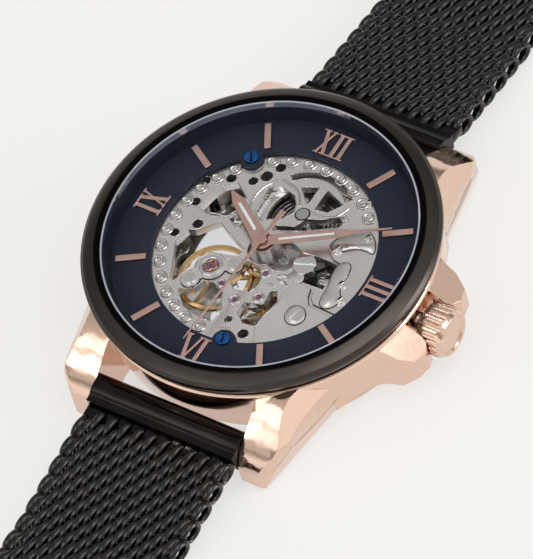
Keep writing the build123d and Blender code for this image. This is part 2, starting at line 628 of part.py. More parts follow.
def balance_bridge():
    """Dial-side bridge that carries the shock setting, in three rounded arms."""
    low = PLATE_TOP + SEAT_GAP
    high = low + 0.25
    bridge = disc(1.75, low, high, BALANCE)
    for foot in bridge_foot_places():
        arm_angle = bearing(BALANCE, foot)
        reach = hypot(foot[0] - BALANCE[0], foot[1] - BALANCE[1])
        arm = block((0, reach), (-0.7, 0.7), (low, high))
        bridge += Pos(BALANCE[0], BALANCE[1], 0) * Rot(0, 0, arm_angle) * arm
        bridge += disc(1.1, low, high, foot)
    bridge -= disc(1.0, low - 1, high + 1, BALANCE)
    for foot in bridge_foot_places():
        bridge -= disc(0.5, low - 1, high + 1, foot)
    return bridge


def bridge_foot_places():
    """Screwed feet of the balance bridge."""
    return ((-5.8, -7.1), (-2.1, -3.4))


def back_bridge():
    """Bridge on the back side: thin under the barrel, deep under the going train."""
    low, high = BACK_BRIDGE_LEVEL
    limit = disc(RIM_INNER_RADIUS - SEAT_GAP, low, TRAIN_BRIDGE_TOP)
    plate = prism(((-4.6, 0.3), (-4.6, 14), (13, 14), (14, -3.0), (6.5, -3.0), (3.0, -1.0)), low, high)
    deep = prism(((-1.6, -3.2), (-0.6, 0.2), (3.5, 0.2), (5.6, -3.0), (6.0, -11.0), (1.0, -13.5),
                  (-0.4, -9.4)),
                 low, TRAIN_BRIDGE_TOP)
    bridge = (plate & limit) + (deep & limit)
    bridge += ring(RIM_INNER_RADIUS - 1.4, RIM_INNER_RADIUS - SEAT_GAP, low, high)
    bridge -= disc(0.85, 0, 20, BARREL)
    for place in (THIRD, fourth_place(), ESCAPE):
        bridge -= disc(0.42, 0, 20, place)
    bridge -= disc(0.32, TRAIN_BRIDGE_TOP - 0.5, 20)
    bridge -= disc(RATCHET_RADIUS + 0.35, RATCHET_LEVEL[0] - 0.08, 20, BARREL)
    crown_wheel_radius = RATCHET_MODULE * (CROWN_WHEEL_TEETH / 2 + 0.8)
    bridge -= disc(crown_wheel_radius + 0.2, RATCHET_LEVEL[0] - 0.08, 20, CROWN_WHEEL)
    return bridge


def balance_cock():
    """Cock from the rim to the balance's lower pivot."""
    low = BACK_BRIDGE_LEVEL[0]
    foot = polar(11.9, bearing(CENTRE, BALANCE))
    reach = hypot(foot[0] - BALANCE[0], foot[1] - BALANCE[1])
    arm = block((0, reach + 0.6), (-1.4, 1.4), (BACK_BRIDGE_LEVEL[1] + SEAT_GAP, 4.4))
    cock = Pos(BALANCE[0], BALANCE[1], 0) * Rot(0, 0, bearing(BALANCE, foot)) * arm
    cock += disc(1.4, low, 4.4, BALANCE)
    cock &= disc(RIM_INNER_RADIUS - SEAT_GAP, low, 6)
    return cock - disc(0.42, 0, 20, BALANCE)


def movement_ring():
    """Ring that centres the movement in the case."""
    spacer = ring(PLATE_RADIUS + SEAT_GAP, CASE_BORE_RADIUS - SEAT_GAP, 3.0, DIAL_BOTTOM - SEAT_GAP)
    return spacer - rod_x(STEM_RADIUS + 0.3, 5, 30, z=STEM_Z)


def jewels():
    """Pierced jewels for the train, and the shock setting of the balance."""
    stones = []
    for place in pivot_places():
        stones.append(ring(0.1, 0.41, PLATE_TOP - 0.45, PLATE_TOP + 0.02, place).solid())
    stones.append(ring(0.1, 0.98, PLATE_TOP + 0.03, PLATE_TOP + 0.30, BALANCE).solid())
    for place in (THIRD, fourth_place(), ESCAPE, BALANCE):
        stones.append(ring(0.1, 0.41, BACK_BRIDGE_LEVEL[0] + 0.02, BACK_BRIDGE_LEVEL[1], place).solid())
    return Compound(stones)


def movement_screws():
    """Screws of the plate, the cover plates, the balance bridge and the motion-work clamp."""
    screws = []
    for x, y, radius in plate_screw_places():
        screws.append(slotted_screw((x, y), radius, PLATE_TOP, 0.22, radius * 0.6, 0.6, 30))
    seat = PLATE_TOP + SEAT_GAP + COVER_THICKNESS
    for x, y, radius in cover_screw_places():
        screws.append(slotted_screw((x, y), radius, seat, 0.2, radius * 0.6, 0.2, 70))
    for foot in bridge_foot_places():
        screws.append(slotted_screw(foot, 0.72, PLATE_TOP + SEAT_GAP + 0.25, 0.25, 0.48, 0.25, 140))
    clamp = setting_wheel_place()
    screws.append(slotted_screw(clamp, 1.35, HOUR_LEVEL[1] + 0.15, 0.4, 0.3, 0.15, 20))
    return Compound([screw.solid() for screw in screws])


# ---------------------------------------------------------------- wheels
RATCHET_MODULE = module_of(CROWN_WHEEL, BARREL, CROWN_WHEEL_TEETH, RATCHET_TEETH)
RATCHET_RADIUS = RATCHET_MODULE * (RATCHET_TEETH / 2 + 0.8)
BARREL_MODULE = module_of(CENTRE, BARREL, BARREL_TEETH, CENTRE_PINION_TEETH)
CENTRE_MODULE = module_of(CENTRE, THIRD, CENTRE_TEETH, TRAIN_PINION_TEETH)
THIRD_MODULE = module_of(CENTRE, THIRD, THIRD_TEETH, TRAIN_PINION_TEETH)
HOUR_MODULE = 2 * MOTION_DISTANCE / (MINUTE_PINION_TEETH + HOUR_WHEEL_TEETH)


def pinion(teeth, module, level, at, wheel_place):
    """Small pinion whose gap faces the wheel that drives it."""
    levels = (level[0] - 0.1, level[1] + 0.1)
    return toothed(teeth, module, levels, at, bearing(at, wheel_place) + 180 / teeth)


def arbor(at, bottom, top, radius=0.18):
    """Straight arbor of a wheel with a thin pivot at both ends."""
    return disc(radius, bottom + 0.3, top - 0.3, at) + disc(0.085, bottom, top, at)


def barrel():
    """Going barrel: drum, toothed ring and three spokes over the spring."""
    low, high = BARREL_LEVEL
    drum_radius = BARREL_TEETH * BARREL_MODULE / 2 - 1.25 * BARREL_MODULE
    drum = ring(drum_radius - 0.35, drum_radius, 4.4, high, BARREL)
    drum += disc(drum_radius, 4.4, 4.6, BARREL)
    towards_centre = bearing(BARREL, CENTRE)
    drum += spoked_wheel(BARREL_TEETH, BARREL_MODULE, BARREL_LEVEL, BARREL, towards_centre, 3, 0.7, 1.2)
    return drum - disc(0.8 + SLIDE_GAP, 0, 20, BARREL)


def mainspring():
    """Coiled mainspring inside the barrel."""
    return spiral_band(1.2, 4.5, 7, 0.16, (4.65, 6.3), BARREL)


def barrel_arbor():
    """Arbor of the barrel and the ratchet wheel, with its core inside the spring."""
    core = disc(0.8, BACK_BRIDGE_LEVEL[0] + 0.05, 7.2, BARREL)
    return core + disc(0.75, 7.2, PLATE_TOP + 0.1, BARREL)


def ratchet_wheel():
    """Wheel on the barrel arbor that winds the spring."""
    level = RATCHET_LEVEL
    wheel = toothed(RATCHET_TEETH, RATCHET_MODULE, level, BARREL, bearing(BARREL, CROWN_WHEEL))
    return wheel - disc(0.8 + 0.005, 0, 20, BARREL)


def crown_wheel():
    """Wheel between the winding pinion and the ratchet wheel, on a short core."""
    phase = bearing(CROWN_WHEEL, BARREL) + 180 / CROWN_WHEEL_TEETH
    wheel = toothed(CROWN_WHEEL_TEETH, RATCHET_MODULE, RATCHET_LEVEL, CROWN_WHEEL, phase)
    return wheel + disc(0.9, RATCHET_LEVEL[1], RATCHET_LEVEL[1] + 0.12, CROWN_WHEEL)


def centre_wheel():
    """Centre wheel with its pinion and the hollow arbor that carries the cannon pinion."""
    wheel = spoked_wheel(CENTRE_TEETH, CENTRE_MODULE, CENTRE_WHEEL_LEVEL, CENTRE, bearing(CENTRE, THIRD))
    low, high = BARREL_LEVEL
    wheel += toothed(CENTRE_PINION_TEETH, BARREL_MODULE, (low - 0.02, high + 0.05), CENTRE,
                     bearing(CENTRE, BARREL) + 180 / CENTRE_PINION_TEETH)
    wheel += disc(CENTRE_TUBE_RADIUS, low, MINUTE_HAND_LEVEL[1] - 0.1)
    return wheel - disc(SECONDS_ARBOR_RADIUS + SLIDE_GAP, 0, 20)


def third_wheel():
    """Third wheel and pinion."""
    fourth = fourth_place()
    wheel = spoked_wheel(THIRD_TEETH, THIRD_MODULE, THIRD_WHEEL_LEVEL, THIRD, bearing(THIRD, CENTRE))
    wheel += pinion(TRAIN_PINION_TEETH, CENTRE_MODULE, CENTRE_WHEEL_LEVEL, THIRD, CENTRE)
    return wheel + arbor(THIRD, BACK_BRIDGE_LEVEL[1] + 0.05 - 0.3, PLATE_TOP - 0.1)


def fourth_wheel():
    """Fourth wheel and pinion."""
    place = fourth_place()
    module = module_of(place, ESCAPE, FOURTH_TEETH, ESCAPE_PINION_TEETH)
    wheel = spoked_wheel(FOURTH_TEETH, module, FOURTH_WHEEL_LEVEL, place, bearing(place, ESCAPE))
    wheel += pinion(TRAIN_PINION_TEETH, THIRD_MODULE, THIRD_WHEEL_LEVEL, place, THIRD)
    return wheel + arbor(place, BACK_BRIDGE_LEVEL[1] + 0.05 - 0.3, PLATE_TOP - 0.1)


def escape_wheel():
    """Escape wheel with raked teeth, and its pinion."""
    low, high = ESCAPE_LEVEL
    points = []
    for i in range(ESCAPE_TEETH):
        angle = i * 360 / ESCAPE_TEETH
        points.append(polar(ESCAPE_RADIUS * 0.80, angle - 9, ESCAPE))
        points.append(polar(ESCAPE_RADIUS, angle + 3, ESCAPE))
        points.append(polar(ESCAPE_RADIUS * 0.98, angle + 5, ESCAPE))
        points.append(polar(ESCAPE_RADIUS * 0.80, angle + 1, ESCAPE))
    wheel = prism(points, low, high) - disc(ESCAPE_RADIUS * 0.64, low - 1, high + 1, ESCAPE)
    for i in range(4):
        spoke = block((0, ESCAPE_RADIUS * 0.72), (-0.12, 0.12), ESCAPE_LEVEL)
        wheel += Pos(ESCAPE[0], ESCAPE[1], 0) * Rot(0, 0, 90 * i) * spoke
    wheel += disc(0.4, low, high, ESCAPE)
    fourth = fourth_place()
    module = module_of(fourth, ESCAPE, FOURTH_TEETH, ESCAPE_PINION_TEETH)
    wheel += pinion(ESCAPE_PINION_TEETH, module, FOURTH_WHEEL_LEVEL, ESCAPE, fourth)
    return wheel + arbor(ESCAPE, BACK_BRIDGE_LEVEL[1] + 0.05 - 0.3, PLATE_TOP - 0.1)


def pallet_fork():
    """Lever with two pallet arms toward the escape wheel and a forked end at the balance."""
    low, high = ESCAPE_LEVEL
    to_escape = bearing(PALLET, ESCAPE)
    to_balance = bearing(PALLET, BALANCE)
    fork = disc(0.45, low, high, PALLET)
    reach = hypot(PALLET[0] - BALANCE[0], PALLET[1] - BALANCE[1])
    lever = block((0, reach - 0.75), (-0.14, 0.14), ESCAPE_LEVEL)
    lever += block((reach - 0.95, reach - 0.45), (0.14, 0.3), ESCAPE_LEVEL)
    lever += block((reach - 0.95, reach - 0.45), (-0.3, -0.14), ESCAPE_LEVEL)
    lever += block((reach - 0.95, reach - 0.75), (-0.3, 0.3), ESCAPE_LEVEL)
    fork += Pos(PALLET[0], PALLET[1], 0) * Rot(0, 0, to_balance) * lever
    for side in (-1, 1):
        arm = block((-0.14, 1.7), (-0.14, 0.14), ESCAPE_LEVEL)
        stone = sorted((0.0, -side * 0.5))
        arm += block((1.42, 1.7), stone, ESCAPE_LEVEL)
        fork += Pos(PALLET[0], PALLET[1], 0) * Rot(0, 0, to_escape + side * 84) * arm
    return fork + arbor(PALLET, ESCAPE_LEVEL[0] - 0.5, PLATE_TOP - 0.1)


def balance_wheel():
    """Balance rim with three arms, staff, roller and impulse pin."""
    low, high = BALANCE_LEVEL
    wheel = ring(BALANCE_RADIUS - 0.5, BALANCE_RADIUS, low, high, BALANCE)
    for i in range(3):
        arm = block((0, BALANCE_RADIUS - 0.25), (-0.3, 0.3), (low + 0.1, high - 0.15))
        wheel += Pos(BALANCE[0], BALANCE[1], 0) * Rot(0, 0, 25 + 120 * i) * arm
    wheel += disc(0.8, low + 0.1, high - 0.15, BALANCE)
    wheel += disc(0.22, HAIRSPRING_LEVEL[0] - 0.3, 7.5, BALANCE)
    wheel += disc(0.09, BACK_BRIDGE_LEVEL[1] - 0.3, PLATE_TOP - 0.05, BALANCE)
    wheel += disc(0.75, ESCAPE_LEVEL[0] - 0.33, ESCAPE_LEVEL[0] - 0.2, BALANCE)
    roller_pin = polar(0.58, bearing(BALANCE, PALLET), BALANCE)
    wheel += disc(0.1, ESCAPE_LEVEL[0] - 0.25, ESCAPE_LEVEL[0] - 0.05, roller_pin)
    return wheel


def hairspring():
    """Flat spiral over the balance."""
    low, high = HAIRSPRING_LEVEL
    collet = ring(0.23, 0.5, low - 0.05, high + 0.05, BALANCE)
    return collet + spiral_band(0.45, 2.3, 8, 0.05, HAIRSPRING_LEVEL, BALANCE)


def seconds_pinion():
    """Long centre arbor with the small pinion that the third wheel drives."""
    phase = bearing(CENTRE, THIRD) + 180 / TRAIN_PINION_TEETH
    level = (THIRD_WHEEL_LEVEL[0] - 0.08, THIRD_WHEEL_LEVEL[1] + 0.1)
    rod = toothed(TRAIN_PINION_TEETH, THIRD_MODULE, level, CENTRE, phase)
    return rod + disc(SECONDS_ARBOR_RADIUS - 0.003, TRAIN_BRIDGE_TOP - 0.3, SECONDS_PIN_TOP)


def cannon_pinion():
    """Pinion and pipe on the centre arbor, carrying the minute hand."""
    low, high = MINUTE_LEVEL
    phase = bearing(CENTRE, minute_wheel_place())
    cannon = toothed(CANNON_TEETH, motion_module(), (low - 0.02, high + 0.08), CENTRE, phase)
    cannon += disc(CANNON_PIPE_RADIUS - 0.003, low, MINUTE_HAND_LEVEL[1] + 0.05)
    return cannon - disc(CENTRE_TUBE_RADIUS + 0.003, 0, 20)


def minute_wheel():
    """Minute wheel and pinion of the motion work."""
    place = minute_wheel_place()
    phase = bearing(place, CENTRE) + 180 / MINUTE_WHEEL_TEETH
    wheel = toothed(MINUTE_WHEEL_TEETH, motion_module(), MINUTE_LEVEL, place, phase)
    level = (MINUTE_LEVEL[1], HOUR_LEVEL[1] + 0.03)
    wheel += toothed(MINUTE_PINION_TEETH, HOUR_MODULE, level, place, bearing(place, CENTRE))
    return wheel - disc(0.22 + SLIDE_GAP, 0, 20, place)


def hour_wheel():
    """Hour wheel and its pipe."""
    place = minute_wheel_place()
    phase = bearing(CENTRE, place) + 180 / HOUR_WHEEL_TEETH
    wheel = toothed(HOUR_WHEEL_TEETH, HOUR_MODULE, HOUR_LEVEL, CENTRE, phase)
    wheel += disc(HOUR_PIPE_RADIUS - 0.003, HOUR_LEVEL[0], HOUR_HAND_LEVEL[1] + 0.03)
    return wheel - disc(CANNON_PIPE_RADIUS + SLIDE_GAP, 0, 20)


def setting_wheel():
    """Setting wheel between the minute wheel and the clutch."""
    place = setting_wheel_place()
    phase = bearing(place, minute_wheel_place())
    wheel = toothed(SETTING_WHEEL_TEETH, motion_module(), MINUTE_LEVEL, place, phase)
    return wheel - disc(0.22 + SLIDE_GAP, 0, 20, place)


# ---------------------------------------------------------------- winding, rotor
def crown():
    """Fluted crown with a raised rim round its end face."""
    core = CROWN_RADIUS
    profile = ((CROWN_INNER_X, 0), (CROWN_INNER_X, 1.7), (CROWN_INNER_X + 0.35, 2.6),
               (CROWN_INNER_X + 0.6, core),
               (CROWN_OUTER_X - 0.75, core), (CROWN_OUTER_X - 0.3, core - 0.3), (CROWN_OUTER_X, core - 0.42),
               (CROWN_OUTER_X, core - 0.75), (CROWN_OUTER_X - 0.2, core - 0.85), (CROWN_OUTER_X - 0.2, 0))
    body = revolve(make_face(Polyline(*profile, close=True)), Axis.X)
    for i in range(CROWN_FLUTES):
        y, z = polar(core + 0.06, i * 360 / CROWN_FLUTES)
        body -= rod_x(0.24, CROWN_INNER_X - 1, CROWN_OUTER_X - 0.45, y, z)
    return Pos(0, 0, STEM_Z) * body


def stem():
    """Winding stem with a square for the clutch and a groove for the setting lever."""
    inner_end = 6.2
    rod = rod_x(STEM_RADIUS, 10.6, CROWN_INNER_X - 0.002, z=STEM_Z)
    rod -= rod_x(STEM_RADIUS + 1, 11.2, 11.7, z=STEM_Z) - rod_x(0.32, 10, 13, z=STEM_Z)
    rod += block((inner_end, 10.7), (-0.35, 0.35), (STEM_Z - 0.35, STEM_Z + 0.35))
    return rod


def crown_gear(length, radius, teeth, start):
    """Short cylinder along X with straight cut teeth and a square hole."""
    body = Rot(0, 90, 0) * toothed(teeth, 2 * radius / (teeth + 1.6), (start, start + length), CENTRE, 0)
    hole = block((start - 1, start + length + 1), (-0.4, 0.4), (-0.4, 0.4))
    return Pos(0, 0, STEM_Z) * (body - hole)


def winding_pinion():
    """Pinion on the stem that turns the crown wheel."""
    return crown_gear(0.95, 1.4, WINDING_PINION_TEETH, 9.25)


def sliding_clutch():
    """Clutch on the stem's square, with a groove for the yoke."""
    body = crown_gear(1.6, 1.3, 18, 7.1)
    groove = rod_x(2.0, 7.75, 8.25, z=STEM_Z) - rod_x(0.95, 7, 9, z=STEM_Z)
    return body - groove


def setting_lever():
    """Lever with a peg in the stem's groove, that turns when the crown is pulled."""
    pivot = (11.45, -2.9)
    level = (6.6, 7.1)
    lever = disc(0.6, level[0], level[1], pivot)
    lever += block((pivot[0] - 0.3, pivot[0] + 0.3), (pivot[1], -0.1), level)
    lever += disc(0.2, STEM_Z + 0.36, level[0], (pivot[0], 0.0))
    lever += block((pivot[0] - 0.25, pivot[0] + 0.25), (-0.2, 0.25), level)
    return lever


def rotor():
    """Half-disc winding rotor with a heavy rim, resting toward 4 o'clock."""
    heavy = ring(ROTOR_RADIUS - 2.2, ROTOR_RADIUS, ROTOR_BOTTOM, 2.85)
    web = ring(2.3, ROTOR_RADIUS - 0.5, ROTOR_BOTTOM, ROTOR_BOTTOM + 0.45)
    far = ROTOR_RADIUS + 1
    half = prism(((0, -far), (far, -far), (far, far), (0, far)), 0, 5)
    body = (heavy & half) + (web & half)
    body += ring(1.55, 3.0, ROTOR_BOTTOM, ROTOR_BOTTOM + 0.45)
    for i in range(5):
        x, y = polar(7.2, -70 + 35 * i)
        body -= disc(1.7, 0, 5, (x, y))
    return Rot(0, 0, -45) * body


def rotor_bearing():
    """Inner race and stud of the rotor's ball bearing."""
    shoulder = ROTOR_BOTTOM + 0.6
    return disc(1.5, ROTOR_BOTTOM - 0.1, shoulder) + disc(0.9, shoulder, BACK_BRIDGE_LEVEL[0])


# ---------------------------------------------------------------- strap
def place_segment(solid, start, end):
    """Move a piece drawn along +Y from the origin onto the line between two hinge points."""
    slope = degrees(atan2(end[1] - start[1], end[0] - start[0]))
    return Pos(0, start[0], start[1]) * Rot(slope, 0, 0) * solid


def mesh_segment(start, end, first=False, last=False):
    """Length of woven mesh as a plain slab, with hinge knuckles at its ends."""
    length = hypot(end[0] - start[0], end[1] - start[1])
    half_width = MESH_WIDTH / 2
    half = MESH_THICKNESS / 2
    middle = MESH_WIDTH / 4
    knuckle = half - 0.05
    clear = half + KNUCKLE_GAP
    begin = END_TUBE_RADIUS + JAW_LENGTH if first else 0.0
    slab = block((-half_width, half_width), (begin, length), (-half, half))
    if not first:
        slab -= rod_x(clear, -middle - 0.1, middle + 0.1)
        for side in (-1, 1):
            ends = sorted((side * (middle + 0.1), side * half_width))
            slab += rod_x(knuckle, ends[0], ends[1])
    if not last:
        for side in (-1, 1):
            ends = sorted((side * middle, side * (half_width + 1)))
            slab -= rod_x(clear, ends[0], ends[1], length)
        slab += rod_x(knuckle, -middle + 0.1, middle - 0.1, length)
    return place_segment(slab, start, end)


def strap_end(points):
    """Polished tube round the spring bar with a jaw that holds the mesh."""
    half_width = MESH_WIDTH / 2
    half = MESH_THICKNESS / 2
    tube = rod_x(END_TUBE_RADIUS, -half_width, half_width)
    jaw_end = END_TUBE_RADIUS + JAW_LENGTH - SEAT_GAP
    tube += block((-half_width, half_width), (0, jaw_end), (-half, half - 0.1))
    tube -= rod_x(SPRING_BAR_RADIUS + SLIDE_GAP, -half_width - 1, half_width + 1)
    return place_segment(tube, points[0], points[1])


def hook_bar():
    """Clamp at the end of the 12 o'clock half with the hook that the clasp catches."""
    y, z = STRAP_12_POINTS[-1]
    half_width = MESH_WIDTH / 2
    half = MESH_THICKNESS / 2 - TABLE_GAP
    hook = 0.35 * MESH_WIDTH
    start = y + SEAT_GAP
    bar = block((-half_width, half_width), (start, start + 2.4), (z - half, z + half))
    bar += block((-hook, hook), (start + 2.4, start + 5.0), (z + half - 0.85, z + half - 0.1))
    bar += block((-hook, hook), (start + 4.3, start + 5.0), (z + half - 1.75, z + half - 0.85))
    return bar


def clasp_geometry():
    """Outer half width, wall top and the two pin places of the clasp."""
    outer = MESH_WIDTH / 2 + CLASP_GAP + CLASP_WALL
    mesh_top = CLASP_HEIGHT + MESH_THICKNESS / 2
    lever_pin = (CLASP_START_Y + CLASP_LENGTH - 1.4, mesh_top + 0.75)
    flap_pin = (CLASP_START_Y + 8.0, mesh_top + 1.55)
    return outer, mesh_top, lever_pin, flap_pin


def clasp_housing():
    """Channel that slides on the mesh, with cross rails and pin holes."""
    outer, mesh_top, lever_pin, flap_pin = clasp_geometry()
    inner = outer - CLASP_WALL
    start = CLASP_START_Y
    end = start + CLASP_LENGTH
    low = TABLE_GAP
    body = block((-outer, outer), (start, end), (low, low + CLASP_FLOOR))
    for side in (-1, 1):
        walls = sorted((side * inner, side * outer))
        body += block(walls, (start, end), (low, mesh_top + 1.15))
        body += block(walls, (flap_pin[0] - 1.0, flap_pin[0] + 1.0), (low, flap_pin[1] + 0.8))
    body += block((-outer, outer), (start + 0.6, start + 1.8), (mesh_top + 0.3, mesh_top + 0.95))
    body += block((-outer, outer), (flap_pin[0] + 0.9, flap_pin[0] + 2.1), (mesh_top + 0.3, mesh_top + 0.95))
    for y, z in (lever_pin, flap_pin):
        body -= rod_x(CLASP_PIN_RADIUS + SLIDE_GAP, -outer - 1, outer + 1, y, z)
    return mirror(body, about=Plane.XZ)


def clasp_flap_on(pin, length_along, outer, thickness, end_sign):
    """Hinged plate with a barrel round its pin; end_sign gives its direction along Y."""
    y, z = pin
    inner = outer - CLASP_WALL - 0.1
    reach = sorted((y, y + end_sign * length_along))
    plate = block((-inner, inner), reach, (z - thickness / 2, z + thickness / 2))
    plate += rod_x(0.6, -inner, inner, y, z)
    plate += rod_x(CLASP_PIN_RADIUS, -outer, outer, y, z)
    return mirror(plate, about=Plane.XZ)


def clasp_lever():
    """Locking lever that grips the mesh, with its pin."""
    outer, _, lever_pin, _ = clasp_geometry()
    return clasp_flap_on(lever_pin, 6.0, outer, 0.6, -1)


def clasp_flap():
    """Safety flap over the hook, with its pin."""
    outer, _, _, flap_pin = clasp_geometry()
    return clasp_flap_on(flap_pin, 7.9, outer, 0.6, -1)


def strap_nodes():
    """All mesh segments and end pieces of both halves."""
    nodes = {}
    halves = (("12", STRAP_12_POINTS, False), ("6", STRAP_6_POINTS, True))
    for name, points, opposite in halves:
        end_piece = strap_end(points)
        nodes["strap_end_" + name] = mirror(end_piece, about=Plane.XZ) if opposite else end_piece
        count = len(points) - 1
        for i in range(count):
            segment = mesh_segment(points[i], points[i + 1], first=i == 0, last=i == count - 1)
            letter = "abcdef"[i]
            nodes["mesh_" + name + letter] = mirror(segment, about=Plane.XZ) if opposite else segment
    return nodes


# ---------------------------------------------------------------- export
MAKERS = (mid_case, bezel, crystal, gaskets, inner_flange, case_back, back_window, crown_tube, spring_bars,
          dial, dial_screws, applied_markers, hour_hand, minute_hand, seconds_hand,
          main_plate, keyless_cover, balance_bridge, back_bridge, balance_cock, movement_ring, jewels,
          movement_screws, barrel, mainspring, barrel_arbor, ratchet_wheel, crown_wheel, centre_wheel,
          third_wheel, fourth_wheel, escape_wheel, pallet_fork, balance_wheel, hairspring, seconds_pinion,
          cannon_pinion, minute_wheel, hour_wheel, setting_wheel, crown, stem, winding_pinion, sliding_clutch,
          setting_lever, rotor, rotor_bearing, hook_bar, clasp_housing, clasp_lever, clasp_flap)


def main():
    """Build every node and write one STEP file for each."""
    os.makedirs("parts", exist_ok=True)
    nodes = {maker.__name__: maker() for maker in MAKERS}
    nodes.update(strap_nodes())
    for name, shape in nodes.items():
        export_step(shape, "parts/" + name + ".step")


main()
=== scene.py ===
"""Looks of an automatic skeleton wristwatch: rose gold case, black bezel, woven black mesh strap.

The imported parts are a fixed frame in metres: +Z out of the dial, +Y towards 12 o'clock, +X towards the
crown. The classes dress them and add what is too fine for them, such as the strap's woven coils.
"""

import json
import logging
from dataclasses import dataclass
from enum import Enum
from math import atan2, copysign, cos, hypot, pi, radians, sin, tau

import bmesh
import bpy
from mathutils import Matrix, Vector

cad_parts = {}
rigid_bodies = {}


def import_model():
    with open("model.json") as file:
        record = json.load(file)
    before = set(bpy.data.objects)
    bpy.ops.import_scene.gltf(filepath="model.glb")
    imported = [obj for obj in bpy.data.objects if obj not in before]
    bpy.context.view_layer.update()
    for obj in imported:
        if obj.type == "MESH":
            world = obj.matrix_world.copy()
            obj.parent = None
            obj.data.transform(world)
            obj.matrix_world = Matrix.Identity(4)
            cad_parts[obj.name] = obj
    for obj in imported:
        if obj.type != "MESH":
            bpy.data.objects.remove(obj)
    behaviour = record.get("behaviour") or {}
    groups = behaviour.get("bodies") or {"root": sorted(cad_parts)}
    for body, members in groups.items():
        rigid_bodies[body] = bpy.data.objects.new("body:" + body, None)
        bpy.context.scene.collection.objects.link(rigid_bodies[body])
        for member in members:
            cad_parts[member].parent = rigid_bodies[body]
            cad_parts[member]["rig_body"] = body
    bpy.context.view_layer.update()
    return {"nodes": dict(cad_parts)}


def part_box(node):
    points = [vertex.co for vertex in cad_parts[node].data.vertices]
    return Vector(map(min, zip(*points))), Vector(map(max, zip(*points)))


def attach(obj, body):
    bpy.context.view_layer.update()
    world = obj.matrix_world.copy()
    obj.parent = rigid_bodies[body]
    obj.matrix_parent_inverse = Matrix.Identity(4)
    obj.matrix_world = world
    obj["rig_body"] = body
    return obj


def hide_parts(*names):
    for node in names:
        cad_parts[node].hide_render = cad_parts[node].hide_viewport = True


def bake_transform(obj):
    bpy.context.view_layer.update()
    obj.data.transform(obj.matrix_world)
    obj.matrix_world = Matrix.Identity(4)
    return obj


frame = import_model()

MM = 0.001
LOG = logging.getLogger("wristwatch")
PACKED_ROUNDING = 2e-7
ARC_RADIUS = 12 * MM
SPRING_BAR = (22.3, 4.2)
FIRST_BEND = (40.0, 1.45)
Triple = tuple[float, float, float]
Colour = Triple
Point = tuple[float, float]
Line = tuple[Point, ...]
Socket = bpy.types.NodeSocket
Mesh = bpy.types.Mesh
BMesh = bmesh.types.BMesh


# ---- laying out materials
class Grain(Enum):
    """How the fine texture of a surface runs."""

    EVEN = "even"
    ALONG_X = "along x"
    ALONG_Y = "along y"
    ROUND = "round the dial's axis"
    RAYS = "out from the dial's axis"


